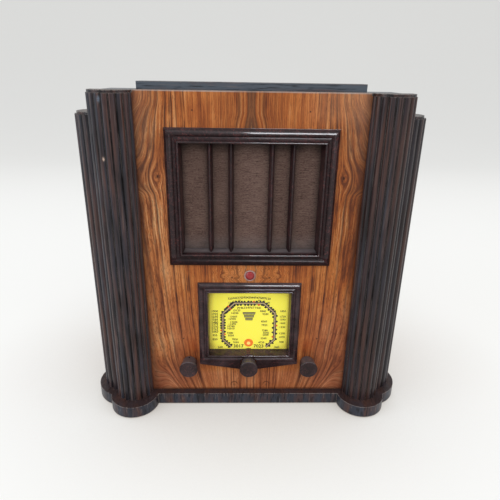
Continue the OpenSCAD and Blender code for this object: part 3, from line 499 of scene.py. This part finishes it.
def moulded_resin(look, name, size, bloom, dust, rails=None):
    """Polished dark resin with reddish flow marks, painted shade in its hollows, a grey bloom, and
    dust on faces that look up.

    rails holds the top and the bottom of a frame, the width of its members and how much painted
    shade darkens its lower roll. That roll and the inner crest of the upper member are dull."""
    f = Finish(name, Specular_IOR_Level=0.06, Coat_Roughness=0.07)
    x, y, z = f.at
    cloud = f.clouds(look.mottle_size * 1000 * size, detail=4.0, roughness=0.6, warp=1.4)
    broad = f.clouds(26.0)
    scratch = f.noise(x / 0.8, y / 0.8, z / 0.8 + 5.0)
    mark = (cloud - 0.5) * 3.2 + (broad - 0.5) * 0.8 + 0.4
    f.base = f.ramp(mark, (0.2, look.ground), (0.6, tint(54, 33, 34)), (0.95, look.mottle))
    # Painted shade down in the hollows.
    f.lay(f.hollows(0.012).smooth(0.1, 0.6) * 0.7, 12, 8, 9)
    polish = 1.0 - f.hollows(0.035).smooth(0.06, 0.3) * 0.8
    # Grey bloom; on the dial frame it also stands in for a painted reflection.
    f.lay(broad.smooth(0.3, 0.8) * bloom, 96, 78, 80)
    if rails:
        top, bottom, member, dark = rails
        roll = bottom + 0.72 * member
        lower = z.smooth(roll, roll - 2.0)
        crest = z.bell(top - 0.58 * member, 0.15 * member)
        polish = polish * (1.0 - lower * 0.95) * (1.0 - crest * 0.85)
        # Painted shade on the lower roll, which faces down.
        f.lay(lower * dark, 24, 14, 13)
        face = PANEL_Y * 1000
        dust = y.smooth(face - 6.0, face + 4.0) * dust * (0.5 + broad)
    f.lay(f.upper(0.3, 0.8) * dust, 122, 112, 112)
    rub, soft = f.edges(0.0008)
    f.lay(rub * 0.18, 128, 112, 110)
    return f.done((0.26 + (scratch - 0.5) * 0.14 + broad * 0.1).clamp(),
                  f.relief(scratch * 0.5 + cloud * 0.5, 0.00002, soft), Coat_Weight=polish * 0.4)


def speaker_weave(look):
    """Plain linen: upright and level threads, slubs along the weft, dust that gathers low down, and
    painted shade close to the bars and the frame.
    """
    f = Finish("speaker_weave", IOR=1.45, Sheen_Weight=0.15, Sheen_Roughness=0.5)
    x, _, z = f.at
    wander = f.noise(x / 9.0, 0.0, z / 9.0) * 1.6
    warp = (x + wander).wave(look.pitch * 1000)
    weft = (z + wander).wave(look.pitch * 1000)
    slub = f.noise(x / 16.0, 1.0, z / 0.9, detail=3.0, roughness=0.7)
    stain = f.noise(x / 40.0, 2.0, z / 40.0, detail=3.0)
    knots = f.noise(x / 3.2, 6.0, z, roughness=0.7)
    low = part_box("speaker_cloth")[0].z * 1000
    dust = z.smooth(low + 36.0, low + 12.0) * f.noise(x / 12.0, 3.0, z / 6.0, detail=3.0)
    cloth = ((slub - 0.5) * 2.2 + (knots - 0.5) * 1.8 + (warp * weft - 0.3) * 0.6
             + (stain - 0.5) * 0.5 + 0.54)
    f.base = f.ramp(cloth, (0.12, look.shadow), (0.5, tint(118, 89, 79)), (0.9, look.thread))
    # Painted shade close to the bars and the frame.
    f.lay(f.hollows(0.016, False).smooth(0.12, 0.6) * 0.75, 22, 15, 14)
    f.lay((dust * 1.5).clamp() * 0.6 * (0.4 + knots), 130, 116, 112)
    scatter = f.add("CombineXYZ", {0: x / 15.0, 2: z / 15.0}).outputs[0]
    speck = f.add("TexVoronoi", {"Vector": scatter, "Scale": 1.0}).outputs["Distance"]
    f.lay(Signal(f, speck).smooth(0.05, 0.03) * 0.7, 34, 26, 24)
    return f.done(0.9, f.relief(warp * 0.4 + weft * 0.4 + slub * 0.4, 0.00025))


def felt(look):
    """Felt with a short fuzz."""
    f = Finish("felt", Sheen_Weight=0.4)
    fuzz = f.clouds(0.9, detail=4.0, roughness=0.7)
    f.base = f.ramp(fuzz, (0.3, tint(34, 33, 31)), (0.7, look.felt))
    return f.done(0.95, f.relief(fuzz, 0.0004))


def lit_paper(look):
    """Printed celluloid with the lamps on behind it: bright in the middle, with painted shade at
    the edges.
    """
    f = Finish("lit_paper", IOR=1.45)
    x, _, z = f.at
    low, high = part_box("dial_glass")
    off_x = abs(x) / (high.x * 1000)
    off_z = abs(z - (low.z + high.z) * 500) / ((high.z - low.z) * 500)
    # Painted shade near the edges, wider on the left.
    edge_shade = (off_x.math("POWER", 4.0) + off_z.math("POWER", 4.0)).smooth(0.45, 1.7)
    sides = (x.smooth(-51.0, -64.0) + x.smooth(57.0, 63.0)) * 0.6
    cloud = f.noise(x / 18.0, 0.0, z / 18.0)
    f.base = f.mix(edge_shade * 0.5 + sides + (cloud - 0.5) * 0.2, look.paper, look.edge_shade)
    return f.done(0.5, glow=look.glow)


def ink(name, rgb, glow=None):
    """Printing ink, a little faded in spots, that glows where the lamps shine through it."""
    f = Finish(name, IOR=1.45)
    f.base = f.mix(f.clouds(2.0) * 0.25, rgb, tuple(min(1.0, c * 1.7 + 0.005) for c in rgb))
    return f.done(0.6, glow=glow)


def glassy(name, rgb, roughness, weight=1.0, smear=0.03):
    """Clear or coloured glass with a little grime."""
    f = Finish(name, IOR=1.48, Transmission_Weight=weight)
    grime = f.clouds(11.0, detail=4.0, roughness=0.7)
    f.base = f.mix(grime * 0.25, rgb, tuple(c * 0.8 for c in rgb))
    return f.done(roughness + grime * smear)


def clear_pane(name):
    """A thin pane that shows what is behind it, with a faint film of grime."""
    f = Finish(name, IOR=1.5, Base_Color=(0.9, 0.92, 0.88))
    grime = f.clouds(14.0, detail=4.0, roughness=0.7)
    return f.done(0.04 + grime * 0.05, Alpha=0.015 + grime.smooth(0.5, 0.9) * 0.03)


def metal(name, light, dark, roughness, brushed=False, grain=1.0):
    """Plated or bare metal with tarnish clouds, fine marks and rubbed edges."""
    f = Finish(name, Metallic=1.0)
    cloud = f.clouds(17.0, detail=4.0, roughness=0.65)
    if brushed:
        mark = f.noise(*f.per(14.0, 0.5, 0.5))
    else:
        mark = f.clouds(grain, detail=3.0, roughness=0.6)
    rub, soft = f.edges(0.0006)
    f.base = f.ramp((cloud - 0.5) * 1.6 + 0.5, (0.2, dark), (0.7, light))
    f.lay(mark.smooth(0.62, 0.74) * 0.25, tuple(c * 0.4 for c in dark))
    f.lay(rub * 0.35, tuple(min(1.0, c * 1.35) for c in light))
    return f.done((roughness + (cloud - 0.5) * 0.25 + (mark - 0.5) * 0.1).clamp(),
                  f.relief(mark, 0.00004, soft))


def matt(name, light, dark, grain, roughness):
    """A dull surface with a cloudy tone and a fine grain: board, laminate, paper, rubber."""
    f = Finish(name, IOR=1.45)
    fibre = f.noise(*f.per(*grain), detail=4.0, roughness=0.65)
    cloud = f.clouds(35.0)
    tone = (fibre - 0.5) * 1.6 + (cloud - 0.5) * 0.8 + 0.5
    f.base = f.ramp(tone, (0.15, dark), (0.85, light))
    return f.done((roughness + (cloud - 0.5) * 0.2).clamp(), f.relief(fibre, 0.0001))


# ---- Mesh helpers ----

def at_panel(x, y, z):
    """A point given in millimetres from the panel's face, in the row frame."""
    return Vector((x * MM, PANEL_Y + y * MM, z * MM))


def paint(material, names):
    """Gives CAD nodes a finish. Their names stand in one string."""
    for name in names.split():
        for slot in NODES[name].material_slots:
            slot.material = material


def put(name, data):
    """Adds an object to the scene."""
    made = bpy.data.objects.new(name, data)
    bpy.context.scene.collection.objects.link(made)
    return made


def shape(name, work, *materials, smooth=True):
    """Adds an object with the mesh that work holds."""
    mesh = bpy.data.meshes.new(name)
    work.normal_update()
    work.to_mesh(mesh)
    work.free()
    for material in materials:
        mesh.materials.append(material)
    for face in mesh.polygons:
        face.use_smooth = smooth
    return put(name, mesh)


def piece(name, work, *materials, slot, smooth=True):
    """Adds a piece that rides on the cabinet."""
    made = shape(name, work, *materials, smooth=smooth)
    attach(made, "cabinet")
    return made


def quads(work, rows):
    """Fills the grid between rows of corners."""
    for a, b in zip(rows, rows[1:]):
        for i in range(len(a) - 1):
            work.faces.new((a[i], a[i + 1], b[i + 1], b[i]))


def flat_face(work, points, y, thick, slot):
    """A flat shape of x, z points in millimetres, with its front y behind the panel's face."""
    front = [work.verts.new(at_panel(x, y, z)) for x, z in points]
    back = [work.verts.new(at_panel(x, y + thick, z)) for x, z in points]
    sides = [(front[i], front[i - 1], back[i - 1], back[i]) for i in range(len(points))]
    for corners in (front, back[::-1], *sides[1:], sides[0]):
        work.faces.new(corners).material_index = slot


def circle(radius, sides, turn=0.0):
    """Corners of a round outline, turned on by a share of a side."""
    angles = [2 * math.pi * (i + turn) / sides for i in range(sides)]
    return [(radius * math.cos(a), radius * math.sin(a)) for a in angles]


def disc(x, z, radius, sides):
    """x, z points of a round spot."""
    return [(x + c, z + s) for c, s in circle(radius, sides)]


def lathe(work, profile, centre, sides=32):
    """A turned form of (radius, height) points in millimetres that stands on a centre in metres."""
    rings = [[work.verts.new(centre + Vector((c, s, height * MM)))
              for c, s in circle(radius * MM, sides)] for radius, height in profile]
    quads(work, [ring + ring[:1] for ring in rings])
    work.faces.new(rings[0])
    work.faces.new(rings[-1][::-1])
    bmesh.ops.recalc_face_normals(work, faces=work.faces)


# ---- Dial print ----

def beside(off):
    """The track's corners moved sideways by off, with mitred corners."""
    ways = [(b - a).normalized() for a, b in LEGS]
    moved = []
    for corner, before, after in zip(TRACK, ways[:1] + ways, ways + ways[-1:]):
        side = before.orthogonal() + after.orthogonal()
        moved.append(corner + side / side.length_squared * 2 * off)
    return moved


def ribbon(work, width, y, slot):
    """A printed line of even width along the track."""
    left, right = beside(width / 2), beside(-width / 2)
    for i in range(len(LEGS)):
        flat_face(work, [left[i], left[i + 1], right[i + 1], right[i]], y, PRINT_T, slot)


def along(share):
    """The point and sideways direction at a share of the track's length."""
    left = share * sum((b - a).length for a, b in LEGS)
    for a, b in LEGS:
        length = (b - a).length
        if left <= length:
            break
        left -= length
    way = (b - a) / length
    return a + way * left, way.orthogonal()


def figures(work, rows, height):
    """Plain numbers as flat shapes. Each row is (text, x, z, height share)."""
    for text, x, z, share in rows:
        curve = bpy.data.curves.new("figure", "FONT")
        curve.body = text
        curve.offset = 0.022
        curve.align_x = curve.align_y = "CENTER"
        curve.resolution_u = 2
        carrier = put("figure", curve)
        bpy.context.view_layer.update()
        mesh = bpy.data.meshes.new_from_object(carrier)
        upright = Matrix.Translation(at_panel(x, PRINT_Y, z)) @ Matrix.Rotation(math.pi / 2, 4, "X")
        mesh.transform(upright @ Matrix.Scale(height * share, 4))
        work.from_mesh(mesh)
        bpy.data.objects.remove(carrier)
        bpy.data.curves.remove(curve)
        bpy.data.meshes.remove(mesh)


# ---- Operators ----

class RECEIVER_OT_veneer(bpy.types.Operator):
    """Finishes the front panel, the side walls and the roof"""
    bl_idname = "receiver.veneer"
    bl_label = "Veneered panels"

    def execute(self, context):
        look = context.scene.receiver_cabinet
        paint(walnut_veneer(look), "front_panel")
        paint(plain_walnut(look, "side_veneer", (2.4, 2.4, 160.0)),
              "side_wall_left side_wall_right")
        paint(plain_walnut(look, "roof_veneer", (160.0, 2.4, 2.4)), "roof_board")
        return {"FINISHED"}


class RECEIVER_OT_dark_wood(bpy.types.Operator):
    """Finishes the columns, their caps, the plinth and the crown"""
    bl_idname = "receiver.dark_wood"
    bl_label = "Columns and plinth"

    def execute(self, context):
        look = context.scene.receiver_cabinet
        paint(stained_wood(look, "stained_wood", (8.0, 8.0, 170.0), 0.34, crest_light=0.6),
              "front_column_left front_column_right side_column_left side_column_right")
        # On the plinth and the caps the large wear also paints an edge highlight.
        paint(stained_wood(look, "stained_band", (11.0, 40.0, 60.0), 0.6, wear=2.6, brown=0.55),
              "plinth")
        paint(stained_wood(look, "worn_caps", (11.0, 40.0, 60.0), 0.05, wear=3.2, brown=0.3),
              "column_caps")
        paint(stained_wood(look, "clouded_block", (170.0, 7.0, 7.0), 1.3, wear=1.6,
                           haze=tint(92, 98, 106)), "crown_rail top_block")
        paint(matt("raw_board", look.board, tint(120, 88, 54), (2.0, 2.0, 60.0), 0.8),
              "corner_battens")
        paint(matt("plain_board", look.board, tint(132, 98, 62), (60.0, 2.0, 2.0), 0.8),
              "baffle_board")
        paint(matt("pressed_board", tint(122, 88, 58), tint(84, 58, 40), (1.4, 1.4, 1.4), 0.85),
              "back_cover")
        return {"FINISHED"}


class RECEIVER_OT_mouldings(bpy.types.Operator):
    """Finishes the speaker frame, the dial frame and the knobs"""
    bl_idname = "receiver.mouldings"
    bl_label = "Mouldings and knobs"

    def execute(self, context):
        look = context.scene.receiver_moulding
        for name, (member, point, dark, dust, bloom) in FRAMES.items():
            low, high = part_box(name)
            rails = (high.z * 1000, low.z * 1000 + point, member, dark)
            paint(moulded_resin(look, name + "_resin", 1.0, bloom, dust, rails), name)
        paint(moulded_resin(look, "knob_resin", 0.7, 0.35, 0.5),
              "tuning_knob volume_knob selector_knob")
        return {"FINISHED"}


class RECEIVER_OT_speaker_linen(bpy.types.Operator):
    """Stretches the linen behind the speaker frame"""
    bl_idname = "receiver.speaker_linen"
    bl_label = "Speaker cloth"

    def execute(self, context):
        low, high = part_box("speaker_cloth")
        width, length = high.x - low.x, high.z - low.z
        across, up = 96, 76
        sag, swell = 0.00012, 0.00018
        work = bmesh.new()
        grid = []
        for j in range(up + 1):
            row = []
            for i in range(across + 1):
                x = low.x + width * i / across
                z = low.z + length * j / up
                inside = math.sin(math.pi * i / across) * math.sin(math.pi * j / up)
                ripple = math.sin(x * 61 + 1.1) * math.sin(z * 83 + 0.4)
                y = (low.y + high.y) / 2 + inside * (sag + swell * ripple)
                row.append(work.verts.new((x, y, z)))
            grid.append(row)
        quads(work, grid)
        made = piece("speaker_linen", work, speaker_weave(context.scene.receiver_cloth),
                     slot="speaker_linen")
        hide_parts("speaker_cloth")
        return {"FINISHED"}


class RECEIVER_OT_felt_pads(bpy.types.Operator):
    """Puts the four felt pads under the plinth"""
    bl_idname = "receiver.felt_pads"
    bl_label = "Felt pads"

    def execute(self, context):
        low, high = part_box("floor_pads")
        thick = (high.z - low.z) * 1000
        radius = 12.0
        profile = [(radius * 0.2, 0.0), (radius - 0.5, 0.0), (radius - 0.05, thick * 0.28),
                   (radius, thick * 0.55), (radius - 0.3, thick * 0.9), (radius - 0.9, thick),
                   (radius * 0.2, thick)]
        work = bmesh.new()
        for side in (-1, 1):
            for front in (True, False):
                xs, ys, _ = zip(*(v.co for v in NODES["floor_pads"].data.vertices
                                  if v.co.x * side > 0 and (v.co.y < 0) == front))
                centre = Vector(((min(xs) + max(xs)) / 2, (min(ys) + max(ys)) / 2, low.z))
                lathe(work, profile, centre)
        made = piece("felt_feet", work, felt(context.scene.receiver_cloth), slot="felt")
        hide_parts("floor_pads")
        return {"FINISHED"}


class RECEIVER_OT_dial(bpy.types.Operator):
    """Prints the dial and lights it"""
    bl_idname = "receiver.dial"
    bl_label = "Dial"

    def execute(self, context):
        look = context.scene.receiver_dial
        paint(lit_paper(look), "dial_scale")
        paint(clear_pane("dial_pane"), "dial_glass")
        inks = [ink("dial_ink", look.ink)]
        for name, rgb, glow in (
                ("dial_red", (206, 84, 34), 0.3), ("dial_stripe", (186, 160, 122), 0.25),
                ("dial_grey", (146, 136, 84), 0.25), ("dial_orange", (226, 110, 22), 0.5),
                ("dial_flame", (252, 196, 104), 0.6), ("dial_border", (62, 54, 26), 0.1)):
            inks.append(ink(name, tint(*rgb), glow))
        work = bmesh.new()
        ribbon(work, 4.4, PRINT_Y + 0.02, BORDER)
        ribbon(work, 1.7, PRINT_Y - 0.1, STRIPE)
        self.dots(work, look)
        self.emblem(work)
        piece("dial_track", work, *inks, slot="dial_print", smooth=False)
        work = bmesh.new()
        figures(work, self.rows(), look.figure_h)
        piece("dial_figures", work, ink("dial_figure_ink", tint(58, 52, 22)), slot="dial_print",
              smooth=False)
        return {"FINISHED"}

    def dots(self, work, look):
        """Dots along both edges of the track, crowded on its upper left, a few of them red."""
        off, start, end = 2.9, 0.012, 0.99
        for k in (-1, 1):
            gap = 4.3 if k > 0 else 4.9
            share = start
            step = 0
            while share < end:
                point, side = along(share)
                spot = point + side * (off * k)
                crowd = 0.55 if 0.3 < share < 0.4 else 1.7 if share > 0.68 else 1.0
                size = 1.75 if step % 3 else 1.95
                flat_face(work, disc(spot.x, spot.y, size, 8), PRINT_Y - 0.06 - 0.01 * k, THIN_T,
                          RED if step % 11 == 6 + k else INK)
                share += (gap + 1.7 * ((step * 7) % 4 == 2)) * crowd / look.track_length
                step += 1

    def emblem(self, work):
        """Three level bars, one under the other, and a plain orange disc at the bottom."""
        tall, slant = 2.2, 0.5
        for k, half in enumerate((9.6, 7.6, 5.6)):
            z = 155.0 - 5.2 * k
            wide = half + slant
            bar = [(-half, z - tall), (half, z - tall), (wide, z + tall), (-wide, z + tall)]
            flat_face(work, bar, PRINT_Y, PRINT_T, BORDER)
            inner = [(x * 0.94, z + (y - z) * 0.6) for x, y in bar]
            flat_face(work, inner, PRINT_Y - 0.1, THIN_T, GREY)
        flat_face(work, disc(0, 101.4, 7.3, 32), PRINT_Y, PRINT_T, ORANGE)
        flat_face(work, disc(0, 100.6, 2.9, 24), PRINT_Y - 0.12, THIN_T, FLAME)

    def rows(self):
        """Plain numbers: columns on both sides of the track, arcs above, a bolder row below."""
        rows = []
        for first, step, share, spots in COLUMNS:
            rows += [(str(first + step * k), x, z, share) for k, (x, z) in enumerate(spots)]
        for k in (-4, -3, -2, 2, 3, 4):
            rows.append((str(33 + 3 * k), k * 7.6, 178.4 - 0.3 * k * k, 0.8))
        for k in range(-3, 4):
            rows.append((str(60 + 7 * k), k * 5.6, 165.0 - 0.3 * abs(k), 0.95))
        for side in (-1, 1):
            rows.append((str(5020 + 2003 * side), side * 16.2, 94.9, 1.55))
            rows.append((str(300 + 40 * side), side * 45.5, 92.8, 1.0))
        return rows


class RECEIVER_OT_jewel(bpy.types.Operator):
    """Cuts the red pilot jewel and finishes its bezel"""
    bl_idname = "receiver.jewel"
    bl_label = "Pilot jewel"

    def execute(self, context):
        low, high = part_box("jewel_lens")
        centre = Vector(((low.x + high.x) / 2, 0, (low.z + high.z) / 2))
        radius = (high.x - low.x) / 2
        sides = 16
        # Each ring of facets as its shares of the radius and of the depth.
        steps = ((1.0, 1.0), (0.96, 0.55), (0.74, 0.26), (0.42, 0.08))
        work = bmesh.new()
        rings = []
        for step, (share, back) in enumerate(steps):
            y = low.y + (high.y - low.y) * back
            rings.append([work.verts.new((centre.x + c, y, centre.z + s))
                          for c, s in circle(radius * share, sides, 0.5 * (step % 2))])
        for step, (outer, inner) in enumerate(zip(rings, rings[1:])):
            for i in range(sides):
                j = (i + 1) % sides
                tip, foot = (j, i) if step % 2 else (i, j)
                work.faces.new((outer[i], outer[j], inner[tip]))
                work.faces.new((outer[foot], inner[j], inner[i]))
        work.faces.new(rings[-1])
        work.faces.new(rings[0][::-1])
        bmesh.ops.recalc_face_normals(work, faces=work.faces)
        made = piece("cut_jewel", work, glassy("red_jewel", (0.55, 0.03, 0.035), 0.12, 0.3, 0.1),
                     slot="red_glass", smooth=False)
        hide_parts("jewel_lens")
        paint(metal("worn_bezel", tint(196, 164, 156), tint(136, 92, 86), 0.42), "jewel_bezel")
        return {"FINISHED"}


# Finishes of the works: kind, name, light and dark tone, further settings, and their nodes.
WORKS = (
    (metal, "plated_steel", (176, 178, 182), (120, 122, 126), 0.36,
     "speaker_basket speaker_magnet chassis_deck chassis_aprons chassis_sides gang_frame"),
    (metal, "turned_steel", (190, 191, 194), (140, 141, 145), 0.28, True,
     "tuning_shaft volume_shaft selector_shaft chassis_bolts"),
    (metal, "satin_brass", (206, 168, 98), (146, 108, 56), 0.34,
     "back_screws speaker_bolts lamp_brackets gang_rotor drive_disc control_bushes pinch_wheel "
     "socket_tubes"),
    (metal, "satin_can", (198, 199, 202), (156, 158, 162), 0.42, True,
     "if_cans smoothing_cans gang_stator volume_control"),
    (metal, "stampings", (82, 82, 86), (44, 44, 48), 0.5, False, 0.6,
     "output_transformer transformer_core"),
    (matt, "paper_laminate", (132, 86, 50), (92, 56, 32), (0.8, 12.0, 0.8), 0.45,
     "valve_sockets selector_switch socket_strip"),
    (matt, "black_moulding", (46, 42, 40), (22, 20, 20), (1.2, 1.2, 1.2), 0.4,
     "valve_bases pointer_arm"),
    (matt, "cone_paper", (86, 76, 64), (52, 44, 38), (2.0, 2.0, 2.0), 0.9, "speaker_cone"),
    (matt, "grommet_rubber", (44, 43, 43), (22, 22, 22), (1.0, 1.0, 1.0), 0.75, "mains_grommet"))


class RECEIVER_OT_works(bpy.types.Operator):
    """Finishes the loudspeaker, the chassis and everything on it"""
    bl_idname = "receiver.works"
    bl_label = "Works inside"

    def execute(self, context):
        for kind, name, light, dark, *how, nodes in WORKS:
            paint(kind(name, tint(*light), tint(*dark), *how), nodes)
        paint(glassy("valve_glass", (0.86, 0.9, 0.9), 0.02), "valve_bulbs")
        wire = Finish("enamelled_wire", Metallic=0.6)
        turn = wire.at[2].wave(0.9)
        wire.base = wire.mix(turn * 0.5 + wire.clouds(12.0) * 0.5, tint(90, 40, 22),
                             tint(168, 88, 52))
        paint(wire.done(0.4, wire.relief(turn, 0.0003)), "transformer_winding")
        lamp = Finish("lamp_glass", IOR=1.45)
        lamp.base = lamp.mix(lamp.clouds(5.0), tint(255, 222, 150), tint(255, 240, 200))
        paint(lamp.done(0.2, glow=1.5), "lamps")
        return {"FINISHED"}


class RECEIVER_OT_studio(bpy.types.Operator):
    """Builds the backdrop, the lamps and the camera"""
    bl_idname = "receiver.studio"
    bl_label = "Studio"

    def execute(self, context):
        look = context.scene.receiver_studio
        self.backdrop(look)
        self.world(look)
        # Each lamp: its power as a share of the key's, size, place, height it points at, colour.
        for name, power, size, stand, aim, tone in (
                ("key", 1.0, (3.2, 2.4), (0.4, -2.6, 2.6), 0.25, (1.0, 0.98, 0.95)),
                ("window", 0.8, (1.6, 2.2), (-2.4, -1.2, 1.2), 0.25, (0.78, 0.88, 1.0)),
                ("fill", 0.31, (1.6, 2.0), (2.4, -1.0, 1.0), 0.25, (0.9, 0.94, 1.0)),
                ("glint", 2.9, (0.65, 1.1), (0.36, -2.3, 0.85), 0.3, (0.93, 0.95, 1.0))):
            lamp = self.lamp(name, look.key * power, size, stand, aim, tone)
        # The glint is the last lamp. It shows on the polish of the two frames alone.
        lamp.visible_diffuse = False
        polished = bpy.data.collections.new("polished")
        for name in FRAMES:
            polished.objects.link(bpy.data.objects[name])
        lamp.light_linking.receiver_collection = polished
        camera = put("camera", bpy.data.cameras.new("camera"))
        camera.data.lens = look.focal
        camera.data.sensor_width = SENSOR_WIDTH
        camera.data.clip_start = 0.01
        turn = (Matrix.Rotation(math.radians(CAMERA_PAN), 4, "Z")
                @ Matrix.Rotation(math.radians(CAMERA_TILT), 4, "X")
                @ Matrix.Rotation(math.radians(CAMERA_ROLL), 4, "Z"))
        camera.matrix_world = Matrix.Translation(CAMERA_PLACE) @ turn
        context.scene.camera = camera
        context.scene.view_settings.view_transform = "Standard"
        return {"FINISHED"}

    def backdrop(self, look):
        """A floor that curves up into a wall, pale to the camera, holding the soft shadow of the
        lamps and a painted shadow close to the set.
        """
        floor_end, bend, steps = 2.0, 1.5, 12
        profile = [(-4.0, 0.0), (floor_end, 0.0)]
        for i in range(1, steps + 1):
            a = math.pi / 2 * i / steps
            profile.append((floor_end + bend * math.sin(a), bend * (1 - math.cos(a))))
        profile.append((floor_end + bend, 5.0))
        work = bmesh.new()
        quads(work, [[work.verts.new((x, y, z)) for x in (-5.0, 5.0)] for y, z in profile])
        f = Finish("backdrop", IOR=1.0)
        far = f.at[1].smooth(500.0, 3400.0)
        cloud = f.clouds(900.0, detail=1.0)
        f.base = f.mix(far + (cloud - 0.5) * 0.1, look.floor, look.backdrop)
        # Painted shadow close to the set.
        f.lay(f.hollows(0.3, False) * 0.75, 150, 134, 116)
        path = f.add("LightPath")
        seen = Signal(f, path.outputs["Is Camera Ray"]).math(
            "MAXIMUM", Signal(f, path.outputs["Is Glossy Ray"])).math(
            "MAXIMUM", Signal(f, path.outputs["Is Transmission Ray"]))
        f.shade(Emission_Color=f.base, Emission_Strength=seen * 0.72)
        f.base = f.mix(0.42, (0, 0, 0), f.base)
        shape("backdrop", work, f.done(1.0))

    def world(self, look):
        """Even light from all sides, and the tone of the backdrop where the camera sees past it."""
        world = bpy.data.worlds.new("studio")
        world.use_nodes = True
        bpy.context.scene.world = world
        nodes, links = world.node_tree.nodes, world.node_tree.links
        nodes.clear()
        output = nodes.new("ShaderNodeOutputWorld")
        mixer = nodes.new("ShaderNodeMixShader")
        path = nodes.new("ShaderNodeLightPath")
        links.new(path.outputs["Is Camera Ray"], mixer.inputs[0])
        for slot, rgb, strength in ((1, (0.9, 0.95, 1.0), 0.7), (2, look.backdrop, 1.0)):
            light = nodes.new("ShaderNodeBackground")
            light.inputs[0].default_value = (*rgb, 1)
            light.inputs[1].default_value = strength
            links.new(light.outputs[0], mixer.inputs[slot])
        links.new(mixer.outputs[0], output.inputs[0])

    def lamp(self, name, power, size, stand, aim, tone):
        """A soft lamp that points at a height above the middle of the floor."""
        data = bpy.data.lights.new(name, "AREA")
        data.shape = "RECTANGLE"
        data.size, data.size_y = size
        data.energy = power
        data.color = tone
        made = put(name, data)
        made.location = stand
        way = Vector((0.0, 0.0, aim)) - Vector(stand)
        made.rotation_euler = way.to_track_quat("-Z", "Y").to_euler()
        return made


OPERATORS = [RECEIVER_OT_veneer, RECEIVER_OT_dark_wood, RECEIVER_OT_mouldings,
             RECEIVER_OT_speaker_linen, RECEIVER_OT_felt_pads, RECEIVER_OT_dial,
             RECEIVER_OT_jewel, RECEIVER_OT_works, RECEIVER_OT_studio]


class RECEIVER_PT_sidebar(bpy.types.Panel):
    """Lists the settings and the steps of the receiver"""
    bl_label = "Table radio receiver"
    bl_space_type = "VIEW_3D"
    bl_region_type = "UI"
    bl_category = "Receiver"

    def draw(self, context):
        for operator in OPERATORS:
            self.layout.operator(operator.bl_idname)
        for name, look in LOOKS.items():
            box = self.layout.box()
            box.label(text=look.__doc__)
            for key in look.__annotations__:
                box.prop(getattr(context.scene, name), key)


def register():
    for look in LOOKS.values():
        bpy.utils.register_class(look)
    for name, look in LOOKS.items():
        setattr(bpy.types.Scene, name, PointerProperty(type=look))
    for operator in OPERATORS:
        bpy.utils.register_class(operator)
    bpy.utils.register_class(RECEIVER_PT_sidebar)


def unregister():
    bpy.utils.unregister_class(RECEIVER_PT_sidebar)
    for operator in reversed(OPERATORS):
        bpy.utils.unregister_class(operator)
    for name, look in LOOKS.items():
        delattr(bpy.types.Scene, name)
        bpy.utils.unregister_class(look)


def main():
    register()
    bpy.ops.receiver.studio()
    bpy.ops.receiver.veneer()
    bpy.ops.receiver.dark_wood()
    bpy.ops.receiver.mouldings()
    bpy.ops.receiver.speaker_linen()
    bpy.ops.receiver.felt_pads()
    bpy.ops.receiver.dial()
    bpy.ops.receiver.jewel()
    bpy.ops.receiver.works()


if __name__ == "__main__":
    main()
